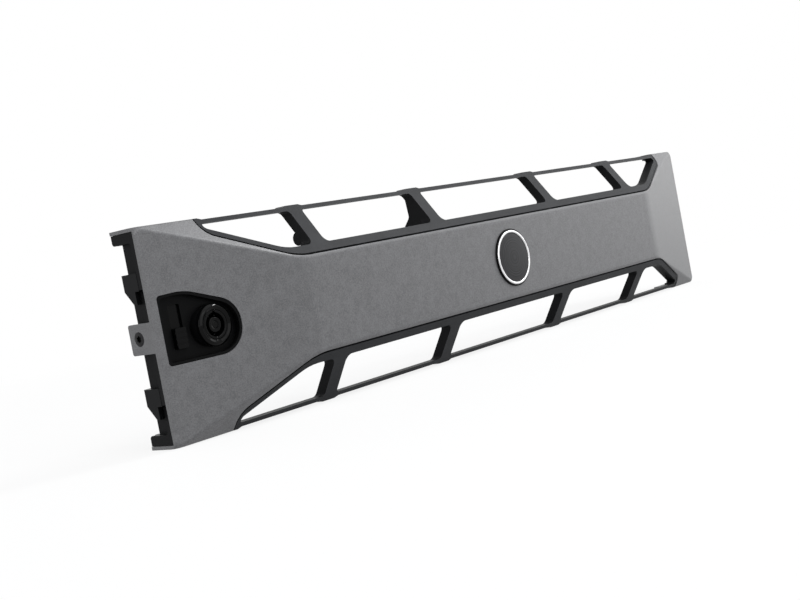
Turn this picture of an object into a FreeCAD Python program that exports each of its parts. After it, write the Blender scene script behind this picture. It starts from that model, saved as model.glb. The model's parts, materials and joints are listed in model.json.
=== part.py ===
import FreeCAD, Part
import math
import os
import Sketcher

from FreeCAD import Placement, Rotation, Vector

# Server front bezel. X runs to the right, Y to the rear and Z up. The origin is on the
# chassis plane, at the middle of the width and level with the lower edge.

DIMENSIONS = (
    ("bezel_width", 438.0, "over both ends"),
    ("bezel_height", 85.8, "lower edge to upper edge"),
    ("end_depth", 14.9, "chassis plane to the front edge of the ends"),
    ("crown_depth", 30.7, "chassis plane to the flat crown"),
    ("crown_width", 300.0, "flat crown along X"),
    ("crown_height", 39.8, "flat crown along Z"),
    ("cover_wall", 1.4, "skin of the painted cover"),
    ("crown_round", 4.0, "long edges of the crown"),
    ("crown_end_round", 40.0, "soft edges between the crown and the ends"),
    ("hip_round", 3.0, "hips between the ends and the bevels"),
    ("edge_round", 1.0, "edges round the ends"),
    ("notch_top", 190.0, "half width of the cover's notch at the outer edge"),
    ("notch_side", 189.0, "half width where the notch turns to its slant"),
    ("notch_rise", 36.2, "height of that turn above the middle"),
    ("notch_round", 8.0, "corner at the outer end of the slant"),
    ("band_corner", 150.2, "half width where the slant meets the band"),
    ("band_half", 20.4, "half height of the painted band"),
    ("band_round", 35.0, "corner where the slant meets the band"),
    ("skin_gap", 0.1, "between the cover and the frame"),
    ("frame_wall", 1.8, "walls of the black frame"),
    ("frame_reveal", 0.3, "frame face behind the painted face"),
    ("trim_gap", 0.8, "dark line between paint and frame"),
    ("grid_depth", 6.0, "rims, ribs and rails, front to rear"),
    ("band_rim", 4.3, "band edge to window"),
    ("slant_rim", 3.0, "slant to window"),
    ("rail_height", 2.5, "outer rails"),
    ("rib_width", 7.6, "window ribs"),
    ("outer_rib", 133.1, "middle of the outer ribs"),
    ("inner_rib", 50.4, "middle of the inner ribs"),
    ("rail_relief", 0.7, "rails set back from the feet of the ribs"),
    ("relief_lead", 2.0, "slanting ends of that relief"),
    ("right_reach", 4.0, "right windows reach further out than the left ones"),
    ("window_round", 3.0, "window corners at the band"),
    ("window_foot_round", 26.0, "window corner where the slant meets the band"),
    ("window_rail_round", 1.6, "window corners at the rail"),
    ("lap_height", 9.0, "frame strip behind the band's edge"),
    ("web_depth", 7.5, "stiffening webs behind the band"),
    ("web_height", 17.0, "long webs, above and below the middle"),
    ("end_gap", 0.3, "frame inside the cover's end"),
    ("bay_width", 2.8, "cover's end to the frame's end wall"),
    ("lug_height", 5.6, "corner lugs"),
    ("lug_round", 1.3, "rear corners of the lugs"),
    ("wall_setback", 2.9, "end wall in front of the chassis plane"),
    ("bay_depth", 11.0, "depth of the hook bay"),
    ("relief_inset", 7.0, "cover's end to the relief of the right end's rear edge"),
    ("tab_low", 37.2, "lower edge of the end tab"),
    ("tab_high", 49.3, "upper edge of the end tab"),
    ("tab_round", 1.0, "corners of the end tab"),
    ("tab_screw_height", 43.4, "screw of the end tab"),
    ("tab_screw_depth", 5.4, "screw of the end tab, before the chassis plane"),
    ("tab_head_radius", 2.9, "countersunk head"),
    ("small_shank_radius", 1.4, "small screws"),
    ("thread_fit", 0.05, "screws in their holes"),
    ("lock_inset", 25.9, "cover's end to the lock's axis"),
    ("lock_height", 43.3, "lock's axis"),
    ("recess_left", 3.6, "cover's end to the recess"),
    ("recess_right", 37.2, "cover's end to the recess's round end"),
    ("recess_low", 31.1, "lower edge of the recess"),
    ("recess_high", 59.0, "upper edge of the recess"),
    ("recess_drop", 0.5, "fall of that edge towards the cover's end"),
    ("recess_shoulder", 15.0, "cover's end to the recess's shoulder"),
    ("recess_fall", 50.7, "height of the slanting edge at the round end"),
    ("recess_nose", 10.9, "radius of the round end"),
    ("recess_crest", 24.0, "radius where the upper edge turns down"),
    ("recess_corner", 1.5, "small corners of the recess"),
    ("recess_depth", 4.0, "recess, square to the cover's end"),
    ("cup_wall", 1.2, "walls of the recess cup"),
    ("lock_fit", 0.15, "cup in the cover"),
    ("slot_left", 9.3, "along the slope, cover's end to the slider's slot"),
    ("slot_right", 14.4, "along the slope, to the slot's other side"),
    ("slot_low", 36.6, "lower end of the slot"),
    ("slider_fit", 0.2, "slider in its slot"),
    ("slider_height", 8.5, "thumb slider"),
    ("slider_sink", 1.2, "slider's face behind the cover's"),
    ("slot_round", 0.6, "corners of the slot and the slider"),
    ("slot_spare", 3.0, "slot above the lifted slider"),
    ("shield_lap", 0.8, "slider's shield beyond the slot"),
    ("shield_wall", 0.8, "slider's shield behind the slot"),
    ("grip_pitch", 2.2, "grooves across the slider"),
    ("grip_width", 0.8, "grooves across the slider"),
    ("grip_depth", 0.5, "grooves across the slider"),
    ("shank_width", 3.8, "slider's shank along X"),
    ("shank_height", 6.0, "slider's shank along Z"),
    ("shank_length", 4.6, "slider's shank before the latch bar"),
    ("latch_travel", 6.0, "lift of the slider and the latch bar"),
    ("flange_height", 2.3, "lock's flange along its axis"),
    ("flange_lift", 0.33, "flange's seat before the recess floor beside it"),
    ("flange_radius", 8.5, "lock's flange"),
    ("barrel_radius", 7.0, "lock's threaded barrel"),
    ("barrel_spare", 0.6, "barrel behind the lock nut"),
    ("plug_radius", 5.85, "turning plug"),
    ("plug_sink", 0.5, "plug's face behind the flange's"),
    ("plug_tail", 0.4, "plug's wide part before the barrel's rear end"),
    ("plug_fit", 0.08, "plug in the barrel"),
    ("keyway_inner", 3.1, "ring-shaped keyway, inside"),
    ("keyway_outer", 4.7, "ring-shaped keyway, outside"),
    ("keyway_depth", 5.0, "ring-shaped keyway"),
    ("lock_pin_radius", 1.5, "post in the keyway's middle"),
    ("bridge_clear", 1.3, "lock bridge behind the recess cup"),
    ("bridge_wall", 2.2, "lock bridge"),
    ("bridge_left", 15.6, "cover's end to the bridge"),
    ("bridge_right", 41.0, "cover's end to the bridge's far side"),
    ("bridge_low", 27.5, "lower leg of the bridge"),
    ("bridge_high", 63.8, "upper leg of the bridge"),
    ("washer_wall", 0.8, "lock washer"),
    ("nut_flats", 17.0, "lock nut across its flats"),
    ("nut_height", 2.6, "lock nut"),
    ("cam_gap", 0.8, "cam behind the barrel"),
    ("cam_wall", 1.5, "cam"),
    ("cam_reach", 12.4, "cam's arm from the axis"),
    ("cam_arm", 7.0, "width of the cam's arm"),
    ("cam_hub_radius", 6.4, "cam's hub"),
    ("cam_clear", 0.3, "blocking lug before the cam"),
    ("block_width", 3.6, "blocking lug on the latch bar"),
    ("bar_left", 6.0, "cover's end to the latch bar"),
    ("bar_right", 15.0, "cover's end to the bar's other edge"),
    ("bar_gap", 4.0, "front of the latch bar before the cam"),
    ("bar_wall", 2.2, "latch bar"),
    ("bar_low", 12.0, "lower end of the latch bar"),
    ("bar_high", 71.5, "upper end of the latch bar"),
    ("hook_top", 68.6, "upper edge of the upper hook"),
    ("hook_height", 12.1, "hook, with its nose"),
    ("hook_body", 6.6, "hook above its ramp"),
    ("hook_rear", 1.8, "hook's rear edge"),
    ("neck_rear", 0.3, "rear of the necks that carry the hooks"),
    ("neck_inset", 1.5, "cover's end to the necks"),
    ("hook_nose_rear", 6.2, "foot of the hook's ramp"),
    ("hook_nose_front", 8.0, "front of the hook's nose"),
    ("hook_pitch", 44.9, "upper hook to lower hook"),
    ("hook_gap", 0.4, "hook outside the frame's end wall"),
    ("slide_gap", 0.15, "latch bar on its guides"),
    ("retainer_wall", 1.2, "latch retainers"),
    ("retainer_height", 4.6, "latch retainers"),
    ("upper_retainer", 56.0, "lower edge of the upper retainer"),
    ("lower_retainer", 29.4, "lower edge of the lower retainer"),
    ("retainer_foot", 23.0, "cover's end to the retainers' far side"),
    ("retainer_screw_inset", 3.4, "that side to the retainer's screw"),
    ("spring_radius", 1.9, "latch spring, to the wire's middle"),
    ("wire_radius", 0.25, "latch spring's wire"),
    ("spring_turns", 5.0, "latch spring"),
    ("spring_inset", 10.5, "cover's end to the spring's axis"),
    ("spring_post_length", 3.0, "pin inside the spring's upper end"),
    ("post_radius", 2.7, "cover's screw posts"),
    ("post_fit", 0.15, "posts in the frame's sockets"),
    ("socket_radius", 4.5, "frame's screw sockets"),
    ("end_post_x", 165.0, "posts behind the ends"),
    ("end_post_rise", 16.6, "those posts, above and below the middle"),
    ("end_socket_length", 9.5, "end sockets, from the painted face back"),
    ("band_socket_length", 9.8, "band sockets, from the painted face back"),
    ("cover_screw_length", 6.0, "shanks of the cover's screws"),
    ("pilot_spare", 0.5, "pilot holes beyond the screws"),
    ("screw_head_height", 1.6, "small screw heads"),
    ("cam_screw_length", 5.0, "shank of the cam's screw"),
    ("slider_screw_radius", 1.0, "shank of the slider's screw"),
    ("slider_screw_length", 5.0, "shank of the slider's screw"),
    ("badge_radius", 14.6, "badge"),
    ("badge_sink", 0.6, "badge's seat in the band"),
    ("badge_base", 0.9, "badge's base plate"),
    ("badge_ring_width", 1.6, "bright ring"),
    ("badge_ring_height", 1.0, "bright ring"),
    ("badge_stud_radius", 2.0, "stud behind the badge"),
    ("badge_stud_length", 4.2, "stud, behind the base plate"),
    ("push_nut_radius", 5.0, "push nut"),
    ("push_nut_wall", 0.5, "push nut"),
    ("tongue_reach", 5.0, "right tongues beyond the cover's end"),
    ("tongue_wall", 2.4, "right tongues"),
    ("tongue_height", 9.0, "right tongues"),
    ("tongue_rise", 21.0, "tongues, above and below the middle"),
    ("tongue_rear", 4.2, "rear of the tongues"),
    ("gusset_wall", 2.4, "web behind the left inner rib"),
    ("gusset_foot", 12.0, "gusset's rear edge at the long web"),
    ("gusset_heel", 9.2, "gusset's rear edge at its heel"),
    ("gusset_waist", 13.1, "gusset's rear edge at its waist"),
    ("gusset_neck", 12.4, "gusset's rear edge under the rail"),
    ("gusset_top", 9.4, "gusset's rear edge at the rail"),
    ("clip_radius", 3.0, "clip at the foot of the left outer rib"),
)

doc = FreeCAD.newDocument("bezel")
sheet = doc.addObject("Spreadsheet::Sheet", "dim")
for line, (alias, size, meaning) in enumerate(DIMENSIONS, start=1):
    sheet.set(f"A{line}", alias)
    sheet.set(f"B{line}", str(size))
    sheet.setAlias(f"B{line}", alias)
    sheet.set(f"C{line}", meaning)
doc.recompute()


def size_of(expression):
    """Present value of an expression on the sheet."""
    result = sheet.evalExpression(expression)
    return float(getattr(result, "Value", result))


def bind(thing, **sizes):
    """Ties properties to expressions; a double underscore in a name stands for a dot."""
    for name, expression in sizes.items():
        thing.setExpression(name.replace("__", "."), expression)
    return thing


def place(thing, x="0", y="0", z="0", turn=None):
    """Puts a thing at x, y, z, with an optional turn."""
    if turn is not None:
        thing.Placement = Placement(Vector(), turn)
    return bind(thing, Placement__Base__x=x, Placement__Base__y=y, Placement__Base__z=z)


FACING_FRONT = Rotation(Vector(1, 0, 0), 90)
FACING_RIGHT = Rotation(Vector(1, 1, 1), 120)
FACING_UP = Rotation()

MIDDLE = "(dim.bezel_height / 2)"
HALF = "(dim.bezel_width / 2)"
RISE = "(dim.crown_depth - dim.end_depth)"
END_SLOPE = f"({HALF} - dim.crown_width / 2) / {RISE}"
TOP_SLOPE = f"({MIDDLE} - dim.crown_height / 2) / {RISE}"
FRAME_SKIN = "(dim.cover_wall + dim.skin_gap)"
FRAME_INNER = f"({FRAME_SKIN} + dim.frame_wall)"


LEFT_END = f"(-{HALF})"
ALPHA = f"atan(1 / ({END_SLOPE}))"


def across(slope):
    """Length along a slope's normal, turned into a length across the form."""
    return f"sqrt(1 + pow({slope}; 2))"


def along(slope):
    """Length along a slope's normal, turned into a depth."""
    return f"sqrt(1 + pow(1 / ({slope}); 2))"


def end_depth_at(inset):
    """Depth of the end slope at a distance from the cover's end."""
    return f"(dim.end_depth + ({inset}) / ({END_SLOPE}))"


def top_depth_at(rise):
    """Depth of the upper or lower slope at a distance from the middle."""
    return f"(dim.end_depth + ({MIDDLE} - ({rise})) / ({TOP_SLOPE}))"


CUP_REAR = f"((dim.recess_depth + dim.cup_wall) * {along(END_SLOPE)})"
FLANGE_EDGE = end_depth_at("dim.lock_inset + dim.flange_radius")
LOCK_SEAT = f"({FLANGE_EDGE} - dim.recess_depth * {along(END_SLOPE)} + dim.flange_lift)"
LOCK_FACE = f"({LOCK_SEAT} + dim.flange_height)"
BRIDGE_FRONT = f"({end_depth_at('dim.bridge_left')} - {CUP_REAR} - dim.bridge_clear)"
BRIDGE_REAR = f"({BRIDGE_FRONT} - dim.bridge_wall)"
WASHER_REAR = f"({BRIDGE_REAR} - dim.washer_wall)"
BARREL_END = f"({WASHER_REAR} - dim.nut_height - dim.barrel_spare)"
CAM_FRONT = f"({BARREL_END} - dim.cam_gap)"
CAM_REAR = f"({CAM_FRONT} - dim.cam_wall)"
BAR_FRONT = f"({CAM_FRONT} + dim.bar_gap)"
BAR_REAR = f"({BAR_FRONT} - dim.bar_wall)"
LOCK_X = f"({LEFT_END} + dim.lock_inset)"
RETAINER_SCREW_X = f"({LEFT_END} + dim.retainer_foot - dim.retainer_screw_inset)"
SHANK_X = (f"({LEFT_END} + (dim.slot_left + dim.slot_right) / 2 * cos({ALPHA})"
           f" + (dim.recess_depth + dim.cup_wall / 2) * sin({ALPHA}))")
SHANK_Z = "(dim.slot_low + dim.slider_height / 2)"


# Shapes from sketches and primitives

def outline(sketch, corners):
    """Closed outline through corners (x, y, radius), each an expression."""
    points = [Vector(size_of(x), size_of(y), 0) for x, y, radius in corners]
    radii = [size_of(radius) for x, y, radius in corners]
    count = len(corners)
    starts, ends, arcs = [], [], []
    for here in range(count):
        corner = points[here]
        before = (corner - points[here - 1]).normalize()
        after = (points[(here + 1) % count] - corner).normalize()
        turn = before.getAngle(after)
        reach = radii[here] * math.tan(turn / 2)
        starts.append(corner - before * reach)
        ends.append(corner + after * reach)
        if radii[here] > 0:
            left = before.cross(after).z > 0
            inward = Vector(-before.y, before.x, 0) * (1 if left else -1)
            centre = starts[here] + inward * radii[here]
            first, last = (starts[here], ends[here]) if left else (ends[here], starts[here])
            angles = [math.atan2(p.y - centre.y, p.x - centre.x) for p in (first, last)]
            if angles[1] < angles[0]:
                angles[1] += 2 * math.pi
            circle = Part.Circle(centre, Vector(0, 0, 1), radii[here])
            arcs.append((Part.ArcOfCircle(circle, *angles), left))
        else:
            arcs.append(None)
    lines = [
        sketch.addGeometry(Part.LineSegment(ends[here], starts[(here + 1) % count]))
        for here in range(count)
    ]
    for here, (x, y, radius) in enumerate(corners):
        before, after = lines[here - 1], lines[here]
        if arcs[here] is None:
            fix(sketch, "Coincident", before, 2, after, 1)
            fix_point(sketch, after, 1, x, y)
            continue
        arc, left = arcs[here]
        bend = sketch.addGeometry(arc)
        knot = sketch.addGeometry(Part.Point(points[here]), True)
        first, last = (1, 2) if left else (2, 1)
        fix(sketch, "Tangent", before, 2, bend, first)
        fix(sketch, "Tangent", bend, last, after, 1)
        fix(sketch, "PointOnObject", knot, 1, before)
        fix(sketch, "PointOnObject", knot, 1, after)
        fix_point(sketch, knot, 1, x, y)
        measure(sketch, radius, "Radius", bend)
    return sketch


def ring(sketch, x, y, radius):
    """Circle round x, y."""
    centre = Vector(size_of(x), size_of(y), 0)
    circle = sketch.addGeometry(Part.Circle(centre, Vector(0, 0, 1), size_of(radius)))
    fix_point(sketch, circle, 3, x, y)
    measure(sketch, radius, "Radius", circle)
    return sketch


def fix(sketch, kind, *targets):
    return sketch.addConstraint(Sketcher.Constraint(kind, *targets))


def measure(sketch, expression, kind, *targets):
    index = fix(sketch, kind, *targets, size_of(expression))
    sketch.setExpression(f"Constraints[{index}]", expression)


def fix_point(sketch, geometry, point, x, y):
    measure(sketch, x, "DistanceX", -1, 1, geometry, point)
    measure(sketch, y, "DistanceY", -1, 1, geometry, point)


def sketch_at(name, turn, x="0", y="0", z="0"):
    return place(doc.addObject("Sketcher::SketchObject", name), x, y, z, turn)


def extrude(name, sketch, forward, back="0"):
    """Solid from a sketch, forward along its normal and back against it."""
    solid = doc.addObject("Part::Extrusion", name)
    solid.Base = sketch
    solid.DirMode = "Normal"
    solid.Solid = True
    return bind(solid, LengthFwd=forward, LengthRev=back)


def front_prism(name, corners, near, far):
    """Prism of a front-view outline, between two depths before the chassis plane."""
    sketch = outline(sketch_at(f"{name}_outline", FACING_FRONT, y=f"-({near})"), corners)
    return extrude(name, sketch, f"({far}) - ({near})")


def side_prism(name, corners, left, right):
    """Prism of a side-view outline of (depth, height) corners, from one X to another."""
    turned = [(f"-({depth})", height, radius) for depth, height, radius in corners]
    sketch = outline(sketch_at(f"{name}_outline", FACING_RIGHT, x=left), turned)
    return extrude(name, sketch, f"({right}) - ({left})")


def plan_prism(name, corners, low, high):
    """Prism of a plan outline of (x, depth) corners, from one height to another."""
    turned = [(x, f"-({depth})", radius) for x, depth, radius in corners]
    sketch = outline(sketch_at(f"{name}_outline", FACING_UP, z=low), turned)
    return extrude(name, sketch, f"({high}) - ({low})")


def block(name, x, depth, z):
    """Box between two values of X, of depth before the chassis plane, and of Z."""
    box = doc.addObject("Part::Box", name)
    bind(box, Length=f"({x[1]}) - ({x[0]})", Width=f"({depth[1]}) - ({depth[0]})")
    bind(box, Height=f"({z[1]}) - ({z[0]})")
    return place(box, x[0], f"-({depth[1]})", z[0])


def rod(name, x, z, radius, near, far):
    """Cylinder along Y at x, z, between two depths."""
    cylinder = doc.addObject("Part::Cylinder", name)
    bind(cylinder, Radius=radius, Height=f"({far}) - ({near})")
    return place(cylinder, x, f"-({near})", z, FACING_FRONT)


def side_rod(name, depth, z, radius, left, right):
    """Cylinder along X at a depth and height."""
    cylinder = doc.addObject("Part::Cylinder", name)
    bind(cylinder, Radius=radius, Height=f"({right}) - ({left})")
    return place(cylinder, left, f"-({depth})", z, FACING_RIGHT)


def join(name, *pieces):
    fused = doc.addObject("Part::MultiFuse", name)
    fused.Shapes = list(pieces)
    return fused


def overlap(name, first, second):
    common = doc.addObject("Part::MultiCommon", name)
    common.Shapes = [first, second]
    return common


def cut(name, base, *tools):
    trimmed = doc.addObject("Part::Cut", name)
    trimmed.Base = base
    trimmed.Tool = tools[0] if len(tools) == 1 else join(f"{name}_tools", *tools)
    return trimmed


def soften(name, base, radius_at):
    """Rounds the edges of base for which radius_at(edge) gives an expression."""
    doc.recompute()
    rounded = doc.addObject("Part::Fillet", name)
    rounded.Base = base
    chosen = []
    for number, edge in enumerate(base.Shape.Edges, start=1):
        radius = radius_at(edge.BoundBox)
        if radius:
            chosen.append((number, size_of(radius), size_of(radius)))
    rounded.Edges = chosen
    return rounded


def mirrored(corners):
    """The same corners on the other side of X = 0, in reverse order."""
    return [(f"-({x})", y, radius) for x, y, radius in reversed(corners)]


def level(side, rise):
    """Height at a distance above (side 1) or below (side -1) the middle."""
    return f"({MIDDLE} + {side} * ({rise}))"


def at_side(side, x):
    return f"{side} * ({x})"


# The hipped form that cover and frame share

def hipped_form(name, inset, side):
    """Box trimmed by a long frustum: the outer form, moved inwards by inset."""
    depth = f"(dim.crown_depth - ({inset}))"
    body = block(
        f"{name}_box",
        (f"-({HALF} - ({side}))", f"{HALF} - ({side})"),
        ("0", depth),
        (inset, f"dim.bezel_height - ({inset})"),
    )
    frustum = doc.addObject("Part::Wedge", f"{name}_frustum")
    place(frustum, z=MIDDLE, turn=Rotation(Vector(0, 0, 1), 180))
    wide = f"(dim.crown_width / 2 - ({inset}) * {across(END_SLOPE)})"
    tall = f"(dim.crown_height / 2 - ({inset}) * {across(TOP_SLOPE)})"
    far_wide = f"({wide} + ({END_SLOPE}) * ({inset}))"
    far_tall = f"({tall} + ({TOP_SLOPE}) * ({inset}))"
    near_wide = f"({wide} + ({END_SLOPE}) * dim.crown_depth)"
    near_tall = f"({tall} + ({TOP_SLOPE}) * dim.crown_depth)"
    bind(frustum, Ymin="0", Ymax=depth)
    bind(frustum, Xmin=f"-{near_wide}", Xmax=near_wide, Zmin=f"-{near_tall}", Zmax=near_tall)
    bind(frustum, X2min=f"-{far_wide}", X2max=far_wide, Z2min=f"-{far_tall}", Z2max=far_tall)
    return overlap(name, body, frustum)


SLANT = "(dim.notch_rise - dim.band_half) / (dim.notch_side - dim.band_corner)"


def notch_corners(side, gap):
    """Front-view outline of the cover's notch, gap inside its edge."""
    lift = f"(({gap}) * {across(SLANT)} - ({gap}))"

    def half(reach):
        return [
            (f"dim.notch_top + {reach} - ({gap})", level(side, f"{MIDDLE} + dim.rail_height"), "0"),
            (
                f"dim.notch_side + {reach} - ({gap})",
                level(side, f"dim.notch_rise + ({gap}) + {lift} - ({gap}) * ({SLANT})"),
                "dim.notch_round",
            ),
            (
                f"dim.band_corner + {reach} - {lift} / ({SLANT})",
                level(side, f"dim.band_half + ({gap})"),
                "dim.band_round",
            ),
        ]
    return half("dim.right_reach") + mirrored(half("0"))


def slope_sketch(name, sink):
    """Empty sketch on the left end slope, sunk behind its face; X runs along the slope."""
    angle = math.radians(size_of(ALPHA))
    inward = Vector(math.sin(angle), math.cos(angle), 0)
    corner = Vector(size_of(LEFT_END), -size_of("dim.end_depth"), 0)
    sketch = doc.addObject("Sketcher::SketchObject", name)
    turn = Rotation(Vector(0, 0, 1), -math.degrees(angle)) * FACING_FRONT
    sketch.Placement = Placement(corner + inward * size_of(sink), turn)
    return sketch


def recess_sketch(name, sink, inset):
    """Recess outline on the left end slope, sunk behind its face and drawn inset."""
    sketch = slope_sketch(name, sink)
    stretch = f"(1 / cos({ALPHA}))"
    left = f"dim.recess_left * {stretch} + ({inset})"
    right = f"dim.recess_right * {stretch} - ({inset})"
    nose = f"dim.recess_nose - ({inset})"
    fall = "(dim.recess_high - dim.recess_fall) / (dim.recess_right - dim.recess_shoulder)"
    shoulder = f"dim.recess_shoulder * {stretch} - ({inset}) * ({fall}) / 2"
    return outline(sketch, [
        (left, f"dim.recess_low + ({inset})", "dim.recess_corner"),
        (right, f"dim.recess_low + ({inset})", nose),
        (right, f"dim.recess_fall - ({inset}) * (1 + ({fall}) / 2)", nose),
        (shoulder, f"dim.recess_high - ({inset})", "dim.recess_crest"),
        (left, f"dim.recess_high - dim.recess_drop - ({inset})", "dim.recess_corner"),
    ])


# Painted front cover

def make_front_cover():
    outer = hipped_form("cover_form", "0", "0")
    near = 0.01
    crown = size_of("dim.crown_depth")
    end = size_of("dim.end_depth")

    def radius_at(box):
        if box.YLength > near:
            return "dim.hip_round" if box.XLength > near and box.ZLength > near else None
        if abs(box.YMin + crown) < near:
            return "dim.crown_round" if box.XLength > near else "dim.crown_end_round"
        if abs(box.YMin + end) < near and box.XLength > near:
            return "dim.edge_round"
        return None

    rounded = soften("cover_rounded", outer, radius_at)
    hollow = hipped_form("cover_hollow", "dim.cover_wall", "-dim.cover_wall")
    notches = [
        front_prism(f"cover_notch_{word}", notch_corners(side, "0"), "-1", "dim.crown_depth + 1")
        for side, word in ((1, "upper"), (-1, "lower"))
    ]
    recess = extrude("cover_recess", recess_sketch("cover_recess_outline", "-1", "0"), "0",
                     "dim.recess_depth + dim.cover_wall")
    shell = cut("cover_shell", rounded, hollow, *notches, recess)
    tab = side_prism("cover_tab", [
        ("0", "dim.tab_low", "dim.tab_round"),
        ("dim.end_depth - dim.cover_wall / 2", "dim.tab_low", "0"),
        ("dim.end_depth - dim.cover_wall / 2", "dim.tab_high", "0"),
        ("0", "dim.tab_high", "dim.tab_round"),
    ], LEFT_END, f"{LEFT_END} + dim.cover_wall")
    posts = []
    for name, x, z, floor, skin in post_places():
        posts.append(rod(
            f"cover_post_{name}", x, z, "dim.post_radius",
            f"{floor} + dim.frame_wall + dim.post_fit", f"{skin} - dim.cover_wall / 2",
        ))
    joined = join("cover_joined", shell, tab, *posts)
    pilots = [
        rod(f"cover_pilot_{name}", x, z, "dim.small_shank_radius + dim.thread_fit",
            floor, f"{floor} + dim.cover_screw_length + dim.pilot_spare")
        for name, x, z, floor, skin in post_places()
    ]
    seat = rod("badge_seat", "0", MIDDLE, "dim.badge_radius + dim.thread_fit",
               "dim.crown_depth - dim.badge_sink", "dim.crown_depth + 1")
    stud_hole = rod("badge_stud_hole", "0", MIDDLE, "dim.badge_stud_radius + dim.thread_fit",
                    "dim.crown_depth - 2 * dim.cover_wall", "dim.crown_depth")
    sink = countersink("tab_countersink", "dim.thread_fit")
    return cut("front_cover", joined, seat, stud_hole, sink, *pilots)


def post_places():
    """Name, x, z, socket floor and skin depth of each screw post of the cover."""
    skin = end_depth_at(f"{HALF} - dim.end_post_x")
    places = []
    for side, word in ((-1, "left"), (1, "right")):
        for rise, height in ((1, "upper"), (-1, "lower")):
            places.append((
                f"{word}_{height}", at_side(side, "dim.end_post_x"),
                level(rise, "dim.end_post_rise"), f"({skin} - dim.end_socket_length)", skin,
            ))
        places.append((
            f"{word}_band", at_side(side, "dim.inner_rib"), MIDDLE,
            "(dim.crown_depth - dim.band_socket_length)", "dim.crown_depth",
        ))
    return places


def countersink(name, gap):
    """Countersunk form of the end tab's screw, grown by a gap."""
    cone = doc.addObject("Part::Cone", f"{name}_head")
    bind(cone, Radius1=f"dim.tab_head_radius + {gap}", Radius2=f"dim.small_shank_radius + {gap}")
    bind(cone, Height="dim.cover_wall")
    place(cone, LEFT_END, "-dim.tab_screw_depth", "dim.tab_screw_height", FACING_RIGHT)
    shank = side_rod(f"{name}_shank", "dim.tab_screw_depth", "dim.tab_screw_height",
                     f"dim.small_shank_radius + {gap}", LEFT_END,
                     f"{LEFT_END} + dim.bar_left - dim.trim_gap")
    return join(name, cone, shank)


# Black inner frame

def window_outlines(side):
    """Front-view outlines of the five windows on one side of the middle."""
    low = level(side, "dim.band_half + dim.band_rim")
    high = level(side, f"{MIDDLE} - dim.rail_height")
    slant = f"({SLANT})"
    shift = f"(dim.slant_rim * {across(SLANT)})"
    foot = f"(dim.band_corner + (dim.band_rim - {shift}) / {slant})"
    tip = "(dim.notch_side - dim.slant_rim)"
    tip_rise = f"(dim.band_half + {slant} * ({tip} - dim.band_corner) + {shift})"

    def end(reach):
        return [
            ("dim.outer_rib + dim.rib_width / 2", low, "dim.window_round"),
            (f"{foot} + {reach}", low, "dim.window_foot_round"),
            (f"{tip} + {reach}", level(side, tip_rise), "dim.window_rail_round * 1.5"),
            (f"dim.notch_top - dim.slant_rim + {reach}", high, "dim.window_rail_round / 2"),
            ("dim.outer_rib + dim.rib_width / 2", high, "dim.window_rail_round"),
        ]
    inner = [
        ("dim.inner_rib + dim.rib_width / 2", low, "dim.window_round"),
        ("dim.outer_rib - dim.rib_width / 2", low, "dim.window_round"),
        ("dim.outer_rib - dim.rib_width / 2", high, "dim.window_rail_round"),
        ("dim.inner_rib + dim.rib_width / 2", high, "dim.window_rail_round"),
    ]
    middle = [
        ("-(dim.inner_rib - dim.rib_width / 2)", low, "dim.window_round"),
        ("dim.inner_rib - dim.rib_width / 2", low, "dim.window_round"),
        ("dim.inner_rib - dim.rib_width / 2", high, "dim.window_rail_round"),
        ("-(dim.inner_rib - dim.rib_width / 2)", high, "dim.window_rail_round"),
    ]
    return [mirrored(end("0")), mirrored(inner), middle, inner, end("dim.right_reach")]


def rail_reliefs():
    """Shallow cuts that set both rails back between the feet of the ribs."""
    start = "(dim.outer_rib + dim.rib_width / 2)"
    tip = "(dim.notch_top - dim.slant_rim)"
    near = "(dim.inner_rib + dim.rib_width / 2)"
    far = "(dim.outer_rib - dim.rib_width / 2)"
    middle = "(dim.inner_rib - dim.rib_width / 2)"
    spans = [
        (f"-{tip}", f"-{start}"), (f"-{far}", f"-{near}"), (f"-{middle}", middle),
        (near, far), (start, f"{tip} + dim.right_reach"),
    ]
    reliefs = []
    for side, word in ((1, "upper"), (-1, "lower")):
        outside = level(side, f"{MIDDLE} + 1")
        edge = level(side, MIDDLE)
        floor = level(side, f"{MIDDLE} - dim.rail_relief")
        for number, (left, right) in enumerate(spans, start=1):
            reliefs.append(front_prism(f"{word}_relief_{number}", [
                (left, outside, "0"), (left, edge, "0"),
                (f"{left} + dim.relief_lead", floor, "0"), (f"{right} - dim.relief_lead", floor, "0"),
                (right, edge, "0"), (right, outside, "0"),
            ], "0", "dim.crown_depth"))
    return reliefs


def window_grid(side, word):
    """Rims, ribs and rail on one side of the band: a pattern cut from a sloping slab."""
    edge = notch_corners(side, "dim.trim_gap")
    plate = front_prism(f"grid_{word}", edge, "0", "dim.crown_depth")
    holes = [
        front_prism(f"window_{word}_{number}", corners, "-1", "dim.crown_depth + 1")
        for number, corners in enumerate(window_outlines(side), start=1)
    ]
    pattern = cut(f"grid_pattern_{word}", plate, *holes)
    reveal = f"(dim.frame_reveal * {along(TOP_SLOPE)})"
    low = "(dim.crown_height / 2)"
    slab = side_prism(f"grid_slab_{word}", [
        (f"{top_depth_at(MIDDLE)} - {reveal}", level(side, MIDDLE), "0"),
        (f"{top_depth_at(low)} - {reveal}", level(side, low), "0"),
        (f"{top_depth_at(low)} - dim.grid_depth", level(side, low), "0"),
        (f"{top_depth_at(MIDDLE)} - dim.grid_depth", level(side, MIDDLE), "0"),
    ], "-dim.notch_top", "dim.notch_top + dim.right_reach")
    return overlap(f"window_grid_{word}", pattern, slab)


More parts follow.
